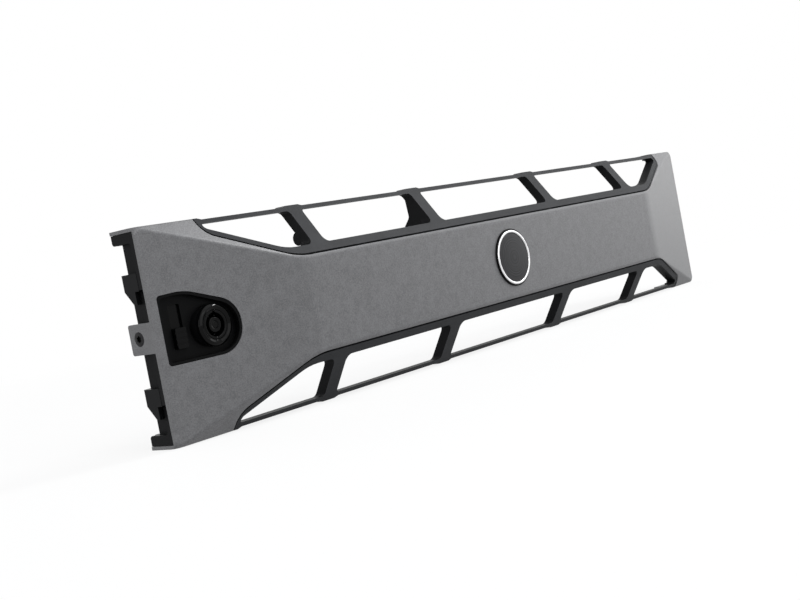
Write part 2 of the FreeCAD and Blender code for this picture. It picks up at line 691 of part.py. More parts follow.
def end_shells():
    """Frame walls behind the cover's ends, as far in as the grids' rims."""
    outer = hipped_form("frame_form", FRAME_SKIN, "dim.end_gap")
    hollow = hipped_form("frame_hollow", FRAME_INNER, "dim.bay_width + dim.frame_wall")
    rim = "dim.slant_rim / 2"
    shift = f"(({rim}) * {across(SLANT)})"
    inner = "(dim.crown_width / 2 - dim.frame_wall)"
    high = f"({MIDDLE} + dim.rail_height)"

    def region(reach):
        half = [
            (f"{HALF}", high),
            (f"dim.notch_top + {reach} - ({rim})", high),
            (f"dim.notch_side + {reach} - ({rim})", f"(dim.notch_rise + {shift})"),
            ("dim.band_corner", f"(dim.band_half + {shift})"),
            (inner, f"(dim.band_half + {shift})"),
        ]
        corners = [(x, level(1, rise), "0") for x, rise in half]
        return corners + [(x, level(-1, rise), "0") for x, rise in reversed(half)]
    right = front_prism("right_region", region("dim.right_reach"), "0", "dim.crown_depth")
    left = front_prism("left_region", mirrored(region("0")), "0", "dim.crown_depth")
    return overlap("end_shells", cut("frame_shell", outer, hollow),
                   join("end_regions", left, right))


def band_webs():
    """Strips, long webs and cross ribs behind the painted band."""
    face = f"(dim.crown_depth - {FRAME_SKIN})"
    half = "(dim.crown_width / 2)"
    pieces = []
    for side, word in ((1, "upper"), (-1, "lower")):
        inner = "dim.band_half + dim.trim_gap + dim.frame_wall - dim.lap_height"
        rises = (level(side, inner), level(side, "dim.band_half + dim.trim_gap + dim.frame_wall"))
        strip = rises if side > 0 else rises[::-1]
        pieces.append(block(f"band_strip_{word}", (f"-{half}", half),
                            (f"{face} - dim.frame_wall", face), strip))
        web = level(side, "dim.web_height")
        pieces.append(block(f"long_web_{word}", (f"-{half}", half),
                            (f"{face} - dim.web_depth", face),
                            (f"{web} - dim.frame_wall / 2", f"{web} + dim.frame_wall / 2")))
    for x, word in (("-dim.outer_rib", "left_outer"), ("-dim.inner_rib", "left_inner"),
                    ("dim.inner_rib", "right_inner"), ("dim.outer_rib", "right_outer")):
        pieces.append(block(f"cross_rib_{word}",
                            (f"{x} - dim.frame_wall / 2", f"{x} + dim.frame_wall / 2"),
                            (f"{face} - dim.web_depth", face),
                            (level(-1, "dim.web_height"), level(1, "dim.web_height"))))
    return pieces


def lock_bridge():
    """Channel behind the recess that the lock is clamped to."""
    rear = BRIDGE_REAR
    left = f"{LEFT_END} + dim.bridge_left"
    right = f"{LEFT_END} + dim.bridge_right"
    plate = block("bridge_plate", (left, right), (rear, BRIDGE_FRONT),
                  ("dim.bridge_low", "dim.bridge_high"))
    skin = f"({FRAME_SKIN} + dim.frame_wall / 2) * {along(END_SLOPE)}"
    corners = [
        (left, rear, "0"),
        (right, rear, "0"),
        (right, f"{end_depth_at('dim.bridge_right')} - {skin}", "0"),
        (left, f"{end_depth_at('dim.bridge_left')} - {skin}", "0"),
    ]
    legs = [
        plan_prism("bridge_leg_lower", corners, "dim.bridge_low",
                   "dim.bridge_low + dim.frame_wall"),
        plan_prism("bridge_leg_upper", corners, "dim.bridge_high - dim.frame_wall",
                   "dim.bridge_high"),
    ]
    side = block("bridge_side", (f"{right} - dim.frame_wall", right),
                 (rear, f"{end_depth_at('dim.bridge_right')} - 1.2 * {skin}"),
                 ("dim.bridge_low", "dim.bridge_high"))
    return [plate, side] + legs


def make_inner_frame():
    bay = f"{LEFT_END} + dim.bay_width"
    grids = [window_grid(1, "upper"), window_grid(-1, "lower")]
    sockets = []
    bores = []
    for name, x, z, floor, skin in post_places():
        far = f"{skin} - {FRAME_SKIN} * {along(END_SLOPE)} - dim.skin_gap"
        sockets.append(rod(f"socket_{name}", x, z, "dim.socket_radius", floor, far))
        bores.append(rod(f"socket_bore_{name}", x, z, "dim.post_radius + dim.post_fit",
                         f"{floor} + dim.frame_wall", f"{skin} + 1"))
        bores.append(rod(f"socket_hole_{name}", x, z, "dim.small_shank_radius + dim.thread_fit * 4",
                         f"{floor} - 1", f"{skin}"))
    gusset_left = "-(dim.inner_rib + dim.rib_width / 2)"
    gusset = side_prism("rib_gusset", [
        (f"{top_depth_at('dim.band_half')} - dim.grid_depth / 2", level(1, "dim.web_height"), "0"),
        ("dim.gusset_foot", level(1, "dim.web_height"), "dim.window_round"),
        ("dim.gusset_heel", level(1, "dim.band_half + dim.band_rim"), "dim.window_round / 2"),
        ("dim.gusset_waist", level(1, "dim.band_half + 2 * dim.band_rim"), "dim.window_round"),
        ("dim.gusset_neck", level(1, f"{MIDDLE} - dim.rail_height"), "dim.window_round"),
        ("dim.gusset_top", level(1, MIDDLE), "0"),
        (f"{top_depth_at(MIDDLE)} - 1", level(1, MIDDLE), "0"),
    ], gusset_left, f"{gusset_left} + dim.gusset_wall")
    clip_depth = f"{top_depth_at('dim.band_half + 2 * dim.band_rim')} - dim.grid_depth"
    clip = side_rod("foot_clip", clip_depth,
                    level(1, "dim.band_half + 1.75 * dim.band_rim"), "dim.clip_radius",
                    "-(dim.outer_rib + dim.rib_width / 2)", "-(dim.outer_rib - dim.rib_width / 4)")
    boss = side_rod("tab_boss", "dim.tab_screw_depth", "dim.tab_screw_height",
                    "dim.small_shank_radius + dim.frame_wall",
                    f"{LEFT_END} + dim.cover_wall + dim.skin_gap",
                    f"{LEFT_END} + dim.bar_left - dim.trim_gap")
    bar = (f"{LEFT_END} + dim.bar_left + dim.hook_gap", f"{LEFT_END} + dim.bar_right - dim.hook_gap")
    guides = [
        block(f"bar_guide_{word}", bar,
              (f"{BAR_FRONT} + dim.slide_gap", end_depth_at("dim.bar_left / 2")), (low, high))
        for word, low, high in (
            ("lower", "dim.bridge_low - dim.frame_wall * 2", "dim.bridge_low + dim.frame_wall"),
            ("upper", "dim.bridge_high - dim.frame_wall", "dim.bridge_high + dim.frame_wall * 2"),
        )
    ]
    post = doc.addObject("Part::Cylinder", "spring_post")
    bind(post, Radius="dim.spring_radius - 2 * dim.wire_radius",
         Height="dim.spring_post_length + dim.frame_wall / 2")
    place(post, f"{LEFT_END} + dim.spring_inset", f"-({BAR_FRONT} - dim.bar_wall / 2)",
          f"dim.bezel_height - {FRAME_INNER} - dim.spring_post_length")
    tongues = [
        block(f"tongue_{word}",
              (f"{HALF} - dim.bay_width - dim.frame_wall / 2", f"{HALF} + dim.tongue_reach"),
              ("dim.tongue_rear", "dim.tongue_rear + dim.tongue_wall"),
              (f"{level(side, 'dim.tongue_rise')} - dim.tongue_height / 2",
               f"{level(side, 'dim.tongue_rise')} + dim.tongue_height / 2"))
        for side, word in ((1, "upper"), (-1, "lower"))
    ]
    behind = join("behind_skin", *band_webs(), *lock_bridge(), *sockets, *guides)
    skin_side = hipped_form("skin_side", FRAME_SKIN, "dim.end_gap")
    solid = join("frame_solid", end_shells(), *grids, gusset, clip, post,
                 overlap("behind_trimmed", behind, skin_side))
    low, high = "dim.lug_height", "dim.bezel_height - dim.lug_height"
    bay_corners = [
        ("0", f"{low} - 2 * dim.lug_round", "0"),
        ("0", low, "dim.lug_round"),
        ("dim.bay_depth", low, "dim.lug_round"),
        ("dim.bay_depth", high, "dim.lug_round"),
        ("0", high, "dim.lug_round"),
        ("0", f"{high} + 2 * dim.lug_round", "0"),
        ("-1", f"{high} + 2 * dim.lug_round", "0"),
        ("-1", f"{low} - 2 * dim.lug_round", "0"),
    ]
    relief_depth = "dim.end_depth - dim.grid_depth"
    bays = [
        side_prism("left_bay", bay_corners, f"{LEFT_END} - 1", bay),
        side_prism("right_bay", bay_corners, f"{HALF} - dim.bay_width", f"{HALF} + 1"),
        plan_prism("right_relief", [
            ("dim.notch_side + dim.right_reach - dim.slant_rim", "-1", "0"),
            (f"{HALF} - dim.relief_inset", "-1", "0"),
            (f"{HALF} - dim.relief_inset", "0", "0"),
            ("dim.notch_top + dim.right_reach", relief_depth, "0"),
            ("dim.notch_side + dim.right_reach - dim.slant_rim", relief_depth, "0"),
        ], "-1", "dim.bezel_height + 1"),
        block("left_setback", (LEFT_END, f"{bay} + dim.frame_wall * 1.2"),
              ("-1", "dim.wall_setback"), (low, high)),
        block("right_setback", (f"{HALF} - dim.bay_width - dim.frame_wall * 1.2", HALF),
              ("-1", "dim.wall_setback"), (low, high)),
        block("tab_bay", (LEFT_END, f"{LEFT_END} + dim.cover_wall + dim.skin_gap"),
              ("-1", "dim.crown_depth"),
              ("dim.tab_low - dim.hook_gap", "dim.tab_high + dim.hook_gap")),
    ]
    mouths = [
        block(f"hook_mouth_{word}", (LEFT_END, bay), ("dim.bay_depth - 1", "dim.end_depth"),
              (f"{top} - dim.hook_height - dim.hook_gap", f"{top} - dim.hook_body"))
        for word, top in hook_places()
    ]
    opening = extrude("frame_recess", recess_sketch("frame_recess_outline", "0", "-dim.lock_fit * 2"),
                      "0", f"{FRAME_INNER} + 0.5")
    lock_hole = rod("bridge_hole", f"{LEFT_END} + dim.lock_inset", "dim.lock_height",
                    "dim.barrel_radius + dim.lock_fit", f"{BRIDGE_REAR} - 1", f"{BRIDGE_FRONT} + 1")
    opened = cut("frame_opened", solid, *bays, *mouths, *rail_reliefs(),
                 opening, lock_hole, *bores)
    with_boss = join("frame_with_boss", opened, boss, *tongues)
    screw_holes = [
        rod(f"retainer_hole_{word}", RETAINER_SCREW_X,
            f"{low} + dim.retainer_height / 2", "dim.small_shank_radius + dim.thread_fit",
            f"{BRIDGE_REAR} - 1", f"{BRIDGE_FRONT} + 1")
        for word, low in retainer_places()
    ]
    return cut("inner_frame", with_boss, countersink("boss_hole", "dim.thread_fit"), *screw_holes)


def retainer_places():
    return (("upper", "dim.upper_retainer"), ("lower", "dim.lower_retainer"))


def hook_places():
    return (("upper", "dim.hook_top"), ("lower", "(dim.hook_top - dim.hook_pitch)"))


# Lock and its recess

def make_lock_escutcheon():
    cup_depth = "dim.recess_depth + dim.cup_wall"
    cup = extrude("cup_block", recess_sketch("cup_outline", "dim.frame_reveal", "dim.lock_fit"),
                  "0", f"{cup_depth} - dim.frame_reveal")
    pocket = extrude("cup_pocket", recess_sketch("cup_pocket_outline", "-1",
                                                 "dim.lock_fit + dim.cup_wall * 0.8"),
                     "0", "dim.recess_depth + 1")
    boss = rod("lock_boss", LOCK_X, "dim.lock_height", "dim.flange_radius - dim.lock_fit",
               BRIDGE_FRONT, LOCK_SEAT)
    solid = join("escutcheon_solid", cut("cup", cup, pocket), boss)
    hole = rod("lock_hole", LOCK_X, "dim.lock_height", "dim.barrel_radius + dim.lock_fit",
               f"{BRIDGE_FRONT} - 1", f"{LOCK_SEAT} + 1")
    slot = outline(slope_sketch("slot_outline", "0"), slot_corners("0", "dim.slot_low", SLOT_TOP))
    return cut("lock_escutcheon", solid, hole, extrude("slot", slot, "1", "dim.recess_depth * 2"))


SLOT_TOP = "(dim.slot_low + dim.slider_height + dim.latch_travel + dim.slot_spare)"


def slot_corners(gap, low, high):
    """Upright rounded slot on the end slope, drawn inside its edge by a gap."""
    left, right = f"dim.slot_left + ({gap})", f"dim.slot_right - ({gap})"
    bottom, top = f"{low} + ({gap})", f"{high} - ({gap})"
    return [(x, z, "dim.slot_round")
            for x, z in ((left, bottom), (right, bottom), (right, top), (left, top))]


def revolved(node, profile, x, z):
    """Body of (radius, depth, corner) points turned round an axis along Y at x, z."""
    body = doc.addObject("PartDesign::Body", node)
    sketch = body.newObject("Sketcher::SketchObject", f"{node}_profile")
    plane = [f for f in body.Origin.OriginFeatures if f.Role == "XY_Plane"][0]
    sketch.AttachmentSupport = (plane, [""])
    sketch.MapMode = "FlatFace"
    outline(sketch, [(radius, f"-({depth})", corner) for radius, depth, corner in profile])
    doc.recompute()
    turned = body.newObject("PartDesign::Revolution", f"{node}_turned")
    turned.Profile = sketch
    turned.ReferenceAxis = (sketch, ["V_Axis"])
    turned.Angle = 360
    return place(body, x, "0", z)


def make_lock():
    bore = "dim.plug_radius + dim.plug_fit"
    pieces = [revolved("lock_housing", [
        (bore, BARREL_END, "0"),
        ("dim.barrel_radius", BARREL_END, "0"),
        ("dim.barrel_radius", LOCK_SEAT, "0"),
        ("dim.flange_radius", LOCK_SEAT, "0"),
        ("dim.flange_radius", LOCK_FACE, "dim.flange_height / 2"),
        (bore, LOCK_FACE, "0"),
    ], LOCK_X, "dim.lock_height")]
    tail = f"{BARREL_END} + dim.plug_tail"
    face = f"({LOCK_FACE} - dim.plug_sink)"
    keyway = f"({LOCK_FACE} - dim.keyway_depth)"
    bored = "dim.lock_pin_radius + dim.thread_fit"
    neck = "dim.plug_radius * 0.6"
    pieces.append(revolved("lock_plug", [
        (bored, CAM_FRONT, "0"),
        (neck, CAM_FRONT, "0"),
        (neck, tail, "0"),
        ("dim.plug_radius", tail, "0"),
        ("dim.plug_radius", face, "0"),
        ("dim.keyway_outer", face, "0"),
        ("dim.keyway_outer", keyway, "0"),
        ("dim.keyway_inner", keyway, "0"),
        ("dim.keyway_inner", f"{face} - dim.plug_sink / 2", "0"),
        (bored, f"{face} - dim.plug_sink / 2", "0"),
    ], LOCK_X, "dim.lock_height"))
    pieces.append(rod("lock_pin", LOCK_X, "dim.lock_height", "dim.lock_pin_radius",
                      f"{LOCK_FACE} - 2 * dim.keyway_depth", f"{face} - dim.plug_sink / 2"))
    hole = "dim.barrel_radius + dim.thread_fit"
    rim = "dim.barrel_radius + dim.bridge_wall"
    pieces.append(revolved("lock_washer", [
        (hole, WASHER_REAR, "0"),
        (rim, WASHER_REAR, "0"),
        (rim, BRIDGE_REAR, "0"),
        (hole, BRIDGE_REAR, "0"),
    ], LOCK_X, "dim.lock_height"))
    pieces.append(make_nut(WASHER_REAR, hole))
    pieces.append(make_cam())
    pieces.append(pan_screw("cam_screw", LOCK_X, "dim.lock_height", CAM_REAR,
                            "dim.cam_screw_length"))
    return pieces


def body_with_pad(node, near, far, draw):
    """Body padded towards the front from a sketch that draw() fills."""
    body = doc.addObject("PartDesign::Body", node)
    sketch = body.newObject("Sketcher::SketchObject", f"{node}_outline")
    plane = [f for f in body.Origin.OriginFeatures if f.Role == "XZ_Plane"][0]
    sketch.AttachmentSupport = (plane, [""])
    sketch.MapMode = "FlatFace"
    sketch.setExpression("AttachmentOffset.Base.z", near)
    draw(sketch)
    doc.recompute()
    pad = body.newObject("PartDesign::Pad", f"{node}_pad")
    pad.Profile = sketch
    pad.setExpression("Length", f"({far}) - ({near})")
    return body


def make_nut(face, hole):
    def draw(sketch):
        corner = "dim.nut_flats / sqrt(3)"
        corners = [
            (f"{corner} * sin({60 * turn})", f"{corner} * cos({60 * turn})", "0")
            for turn in range(6)
        ]
        outline(sketch, corners)
        ring(sketch, "0", "0", hole)
    nut = body_with_pad("lock_nut", f"{face} - dim.nut_height", face, draw)
    return place(nut, LOCK_X, "0", "dim.lock_height")


def make_cam():
    def draw(sketch):
        half = "dim.cam_arm / 2"
        hub = "dim.cam_hub_radius"
        outline(sketch, [
            ("-dim.cam_reach", f"-{half}", f"{hub} / 6"),
            (f"-{hub}", f"-{half}", "0"),
            (f"-{hub} * 0.6", f"-{hub} * 0.9", "0"),
            (f"{hub} * 0.9", f"-{hub} * 0.9", f"{hub} * 0.6"),
            (f"{hub} * 0.9", f"{hub} * 0.9", f"{hub} * 0.6"),
            (f"-{hub} * 0.6", f"{hub} * 0.9", "0"),
            (f"-{hub}", f"{half}", "0"),
            ("-dim.cam_reach", f"{half}", f"{hub} / 6"),
        ])
        ring(sketch, "0", "0", "dim.small_shank_radius + dim.thread_fit")
    cam = body_with_pad("lock_cam", CAM_REAR, CAM_FRONT, draw)
    return place(cam, LOCK_X, "0", "dim.lock_height")


# Release slider, latch bar and what holds them

def make_release_slider():
    """Thumb piece through the slot, the shield behind the slot and the shank to the bar."""
    rear = "dim.recess_depth + dim.cup_wall + dim.slide_gap"
    face = outline(
        slope_sketch("slider_outline", "dim.slider_sink"),
        slot_corners("dim.slider_fit", "dim.slot_low", "(dim.slot_low + dim.slider_height)"))
    thumb = extrude("slider_thumb", face, "0", f"{rear} - dim.slider_sink")
    shield = extrude("slider_shield", outline(
        slope_sketch("slider_shield_outline", rear),
        slot_corners("-dim.shield_lap", "(dim.slot_low - dim.latch_travel)", SLOT_TOP),
    ), "0", "dim.shield_wall")
    shank = block("slider_shank",
                  (f"{SHANK_X} - dim.shank_width / 2", f"{SHANK_X} + dim.shank_width / 2"),
                  (BAR_FRONT, f"{BAR_FRONT} + dim.shank_length"),
                  (f"{SHANK_Z} - dim.shank_height / 2", f"{SHANK_Z} + dim.shank_height / 2"))
    grooves = []
    for number in (-1, 0, 1):
        low = f"{SHANK_Z} + {number} * dim.grip_pitch - dim.grip_width / 2"
        groove = outline(slope_sketch(f"grip_groove_{number + 2}_outline", "dim.slider_sink"), [
            ("dim.slot_left", low, "0"),
            ("dim.slot_right", low, "0"),
            ("dim.slot_right", f"{low} + dim.grip_width", "0"),
            ("dim.slot_left", f"{low} + dim.grip_width", "0"),
        ])
        grooves.append(extrude(f"grip_groove_{number + 2}", groove, "1", "dim.grip_depth"))
    pilot = rod("slider_pilot", SHANK_X, SHANK_Z, "dim.slider_screw_radius + dim.thread_fit",
                f"{BAR_FRONT} - 1", f"{BAR_REAR} + dim.slider_screw_length + dim.pilot_spare")
    return cut("release_slider", join("slider_solid", thumb, shield, shank), pilot, *grooves)


def make_latch_bar():
    """Flat bar with two hooks round the end wall's rear edge and a lug over the cam."""
    left, right = f"({LEFT_END} + dim.bar_left)", f"({LEFT_END} + dim.bar_right)"
    corner = "dim.bar_wall / 2"
    pieces = [front_prism("bar_plate", [
        (left, "dim.bar_low", corner), (right, "dim.bar_low", corner),
        (right, "dim.bar_high", corner), (left, "dim.bar_high", corner),
    ], BAR_REAR, BAR_FRONT)]
    outside = (f"{LEFT_END} + dim.hook_gap", f"{LEFT_END} + dim.bay_width - dim.hook_gap")
    inside = f"{left} + dim.bar_wall"
    front = "dim.bay_depth - dim.hook_gap"
    for word, top in hook_places():
        waist = f"{top} - dim.hook_body"
        nose = f"{top} - dim.hook_height"
        pieces.append(side_prism(f"hook_{word}", [
            ("dim.hook_rear", top, "dim.hook_gap"),
            ("dim.hook_rear", waist, "dim.hook_gap"),
            ("dim.hook_nose_rear", nose, "0"),
            ("dim.hook_nose_front", nose, "0"),
            ("dim.hook_nose_front", f"{waist} - dim.hook_gap", "0"),
            (front, f"{waist} - dim.hook_gap", "0"),
            (front, top, "dim.hook_gap"),
        ], *outside))
        pieces.append(block(f"hook_neck_{word}", (f"{LEFT_END} + dim.neck_inset", inside),
                            ("dim.neck_rear", "dim.wall_setback - dim.hook_gap"), (waist, top)))
        pieces.append(block(f"hook_web_{word}", (left, inside),
                            ("dim.neck_rear", BAR_FRONT), (waist, top)))
    lug_top = f"{SHANK_Z} - 2 * dim.slider_screw_radius - dim.hook_gap"
    pieces.append(block("blocking_lug", (f"{right} - dim.block_width", right),
                        (f"{CAM_FRONT} + dim.cam_clear", BAR_FRONT),
                        (f"{lug_top} - dim.block_width", lug_top)))
    hole = rod("bar_screw_hole", SHANK_X, SHANK_Z, "dim.slider_screw_radius + dim.thread_fit",
               f"{BAR_REAR} - 1", f"{BAR_FRONT} + 1")
    return cut("latch_bar", join("bar_solid", *pieces), hole)


def make_latch_retainer(word, low):
    """Stepped clip on the lock bridge that keeps the latch bar in."""
    arm_front = f"({BAR_REAR} - dim.slide_gap)"
    arm_rear = f"({arm_front} - dim.retainer_wall)"
    foot = f"{LEFT_END} + dim.retainer_foot"
    step = f"{LEFT_END} + dim.bridge_left + dim.hook_gap"
    tip = f"{LEFT_END} + (dim.bar_left + dim.bar_right) / 2 - dim.slide_gap"
    clip = plan_prism(f"retainer_{word}_clip", [
        (tip, arm_rear, "0"),
        (foot, arm_rear, "dim.retainer_wall / 2"),
        (foot, BRIDGE_REAR, "0"),
        (step, BRIDGE_REAR, "0"),
        (step, arm_front, "0"),
        (tip, arm_front, "0"),
    ], low, f"{low} + dim.retainer_height")
    hole = rod(f"retainer_{word}_hole", RETAINER_SCREW_X, f"{low} + dim.retainer_height / 2",
               "dim.small_shank_radius + dim.thread_fit * 2", "0", BRIDGE_FRONT)
    return cut(f"latch_retainer_{word}", clip, hole)


def make_latch_spring():
    """Coil between the latch bar's upper end and the frame."""
    low = "(dim.bar_high + dim.wire_radius)"
    high = f"(dim.bezel_height - {FRAME_INNER} - dim.wire_radius)"
    centre = (f"{LEFT_END} + dim.spring_inset", f"-({BAR_FRONT} - dim.bar_wall / 2)")
    helix = doc.addObject("Part::Helix", "spring_helix")
    bind(helix, Radius="dim.spring_radius", Height=f"{high} - {low}")
    bind(helix, Pitch=f"({high} - {low}) / dim.spring_turns")
    place(helix, centre[0], centre[1], low)
    wire = doc.addObject("Part::RegularPolygon", "spring_wire")
    wire.Polygon = 6
    bind(wire, Circumradius="dim.wire_radius")
    place(wire, f"{centre[0]} + dim.spring_radius", centre[1], low, FACING_FRONT)
    coil = doc.addObject("Part::Sweep", "latch_spring")
    coil.Sections = [wire]
    coil.Spine = (helix, [])
    coil.Frenet = True
    coil.Solid = True
    return coil


# Screws and the badge

def pan_screw(name, x, z, seat, length, shank="dim.small_shank_radius"):
    """Screw whose head lies behind a seat, its shank running forwards."""
    head = rod(f"{name}_head", x, z, f"{shank} * 1.8", f"{seat} - dim.screw_head_height", seat)
    stem = rod(f"{name}_shank", x, z, shank, f"{seat} - dim.screw_head_height / 2",
               f"{seat} + {length}")
    socket = rod(f"{name}_socket", x, z, f"{shank} * 0.6", f"{seat} - 2 * dim.screw_head_height",
                 f"{seat} - dim.screw_head_height * 0.4")
    return cut(name, join(f"{name}_solid", head, stem), socket)


def group(node, pieces):
    together = doc.addObject("Part::Compound", node)
    together.Links = pieces
    return together


def make_screws():
    cover = [
        pan_screw(f"cover_screw_{name}", x, z, floor, "dim.cover_screw_length")
        for name, x, z, floor, skin in post_places()
    ]
    arm_rear = f"({BAR_REAR} - dim.slide_gap - dim.retainer_wall)"
    retainer = [
        pan_screw(f"retainer_screw_{word}", RETAINER_SCREW_X,
                  f"{low} + dim.retainer_height / 2", arm_rear, f"{BRIDGE_FRONT} - {arm_rear}")
        for word, low in retainer_places()
    ]
    slider = pan_screw("slider_screw", SHANK_X, SHANK_Z, BAR_REAR,
                       "dim.slider_screw_length", "dim.slider_screw_radius")
    tab = cut("tab_screw", countersink("tab_screw_solid", "0"), side_rod(
        "tab_screw_socket", "dim.tab_screw_depth", "dim.tab_screw_height",
        "dim.small_shank_radius * 0.8", f"{LEFT_END} - 1", f"{LEFT_END} + dim.cover_wall"))
    return [group("cover_screws", cover), group("retainer_screws", retainer), slider, tab]


def make_badge():
    seat = "(dim.crown_depth - dim.badge_sink)"
    face = f"({seat} + dim.badge_base)"
    inner = "(dim.badge_radius - dim.badge_ring_width)"
    disc = revolved("badge_disc", [
        ("0", f"{seat} - dim.badge_stud_length", "0"),
        ("dim.badge_stud_radius", f"{seat} - dim.badge_stud_length", "0"),
        ("dim.badge_stud_radius", seat, "0"),
        ("dim.badge_radius", seat, "0"),
        ("dim.badge_radius", face, "0"),
        (f"{inner} - dim.thread_fit", face, "0"),
        (f"{inner} - dim.thread_fit", f"{face} + dim.badge_ring_height * 0.6", "0"),
        ("0", f"{face} + dim.badge_ring_height * 0.9", "0"),
    ], "0", MIDDLE)
    bright = revolved("badge_ring", [
        (inner, face, "0"),
        (f"{inner} + dim.badge_ring_width * 0.75", face, "0"),
        (f"{inner} + dim.badge_ring_width * 0.6", f"{face} + dim.badge_ring_height", "0"),
        (f"{inner} + dim.badge_ring_width * 0.15", f"{face} + dim.badge_ring_height", "0"),
    ], "0", MIDDLE)
    rear = "(dim.crown_depth - dim.cover_wall)"
    nut = revolved("badge_push_nut", [
        ("dim.badge_stud_radius + dim.thread_fit", f"{rear} - 3 * dim.push_nut_wall", "0"),
        ("dim.push_nut_radius * 0.64", f"{rear} - 3 * dim.push_nut_wall", "0"),
        ("dim.push_nut_radius * 0.76", f"{rear} - dim.push_nut_wall", "0"),
        ("dim.push_nut_radius", f"{rear} - dim.push_nut_wall", "0"),
        ("dim.push_nut_radius", rear, "0"),
        ("dim.badge_stud_radius + dim.thread_fit", rear, "0"),
    ], "0", MIDDLE)
    return [disc, bright, nut]


def finish(nodes):
    """Checks every object, then writes one file for each node."""
    doc.recompute()
    for thing in doc.Objects:
        if "Invalid" in thing.State or "Error" in thing.State:
            raise RuntimeError(f"{thing.Name} failed: {thing.State}")
    for node in nodes:
        shape = node.Shape
        if shape.isNull() or not shape.isValid() or not shape.Solids:
            raise RuntimeError(f"{node.Label} has no valid solid")
        print(f"{node.Label}: {len(shape.Solids)} solids, {shape.Volume:.1f} mm3")
    os.makedirs("parts", exist_ok=True)
    for node in nodes:
        node.Shape.exportStep(f"parts/{node.Label}.step")


nodes = [make_front_cover(), make_inner_frame(), make_lock_escutcheon()]
nodes += make_lock()
nodes += [make_release_slider(), make_latch_bar()]
nodes += [make_latch_retainer(word, low) for word, low in retainer_places()]
nodes += [make_latch_spring()]
nodes += make_screws()
nodes += make_badge()
finish(nodes)
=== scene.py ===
import json
import math

import bpy
from mathutils import Matrix, Vector


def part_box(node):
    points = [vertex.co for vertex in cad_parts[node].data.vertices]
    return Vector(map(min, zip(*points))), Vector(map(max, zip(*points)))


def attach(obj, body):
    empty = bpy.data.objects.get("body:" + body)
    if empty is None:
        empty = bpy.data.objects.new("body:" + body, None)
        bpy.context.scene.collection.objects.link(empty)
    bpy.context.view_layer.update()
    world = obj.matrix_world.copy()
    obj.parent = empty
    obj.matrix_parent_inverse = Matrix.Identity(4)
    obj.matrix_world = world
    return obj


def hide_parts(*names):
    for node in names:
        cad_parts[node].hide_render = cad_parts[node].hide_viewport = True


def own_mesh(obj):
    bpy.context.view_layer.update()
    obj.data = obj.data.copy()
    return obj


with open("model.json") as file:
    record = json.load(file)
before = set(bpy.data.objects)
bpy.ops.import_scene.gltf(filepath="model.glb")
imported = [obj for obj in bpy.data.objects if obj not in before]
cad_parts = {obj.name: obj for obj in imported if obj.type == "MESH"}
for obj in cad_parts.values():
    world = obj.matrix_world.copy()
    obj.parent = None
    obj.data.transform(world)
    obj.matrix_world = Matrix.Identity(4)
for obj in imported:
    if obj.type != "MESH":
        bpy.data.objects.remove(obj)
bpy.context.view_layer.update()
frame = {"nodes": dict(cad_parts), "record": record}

bl_info = {
    "name": "Server Front Bezel",
    "version": (1, 0, 0),
    "blender": (4, 5, 0),
    "location": "View3D > Sidebar > Bezel",
    "description": "Dresses the front bezel of a rack server and sets its studio",
    "category": "Object",
}

FINISHES = {}

# Corners closer than the gap and faces within the flat angle become one; edges sharper
# than the rounded angle are rounded
MERGE_GAP = 0.000002
FLAT_ANGLE = math.radians(0.3)
ROUNDED_ANGLE = math.radians(28)
QUARTER_TURN = math.pi / 2
# Grey values that a noise mostly stays between
NOISE_LOW, NOISE_HIGH = 0.3, 0.7


class BezelSizes(bpy.types.PropertyGroup):
    """Sizes that can be changed"""

    paint_edge: bpy.props.FloatProperty(
        name="Paint edge", description="Rounding of the cover's small edges",
        default=0.0004, min=0, unit="LENGTH", precision=5)
    mould_edge: bpy.props.FloatProperty(
        name="Moulded edge", description="Rounding of the black moulding's edges",
        default=0.00035, min=0, unit="LENGTH", precision=5)
    metal_edge: bpy.props.FloatProperty(
        name="Metal edge", description="Rounding of the small metal pieces' edges",
        default=0.00015, min=0, unit="LENGTH", precision=5)
    grain: bpy.props.FloatProperty(
        name="Grain", description="Size of the grain in the paint",
        default=0.0005, min=0.0001, unit="LENGTH", precision=5)
    thread_pitch: bpy.props.FloatProperty(
        name="Thread pitch", description="Pitch of the screws' threads",
        default=0.0007, min=0.0004, unit="LENGTH", precision=5)
    spring_wire: bpy.props.FloatProperty(
        name="Spring wire", description="Radius of the latch spring's wire",
        default=0.00025, min=0.0001, unit="LENGTH", precision=5)


class BezelColours(bpy.types.PropertyGroup):
    """Colours that can be changed"""

    paint: bpy.props.FloatVectorProperty(
        name="Paint", description="Metallic grey of the cover",
        default=(0.15, 0.151, 0.156), min=0, max=1, subtype="COLOR")
    moulding: bpy.props.FloatVectorProperty(
        name="Moulding", description="Black of the inner frame and the recess",
        default=(0.012, 0.0125, 0.0135), min=0, max=1, subtype="COLOR")
    lock: bpy.props.FloatVectorProperty(
        name="Lock", description="Black of the lock",
        default=(0.007, 0.007, 0.0075), min=0, max=1, subtype="COLOR")
    disc: bpy.props.FloatVectorProperty(
        name="Badge disc", description="Grey of the bare badge disc",
        default=(0.034, 0.034, 0.036), min=0, max=1, subtype="COLOR")
    floor: bpy.props.FloatVectorProperty(
        name="Floor", description="Floor as the object sees it; the camera sees it pale",
        default=(0.36, 0.36, 0.365), min=0, max=1, subtype="COLOR")


# Materials

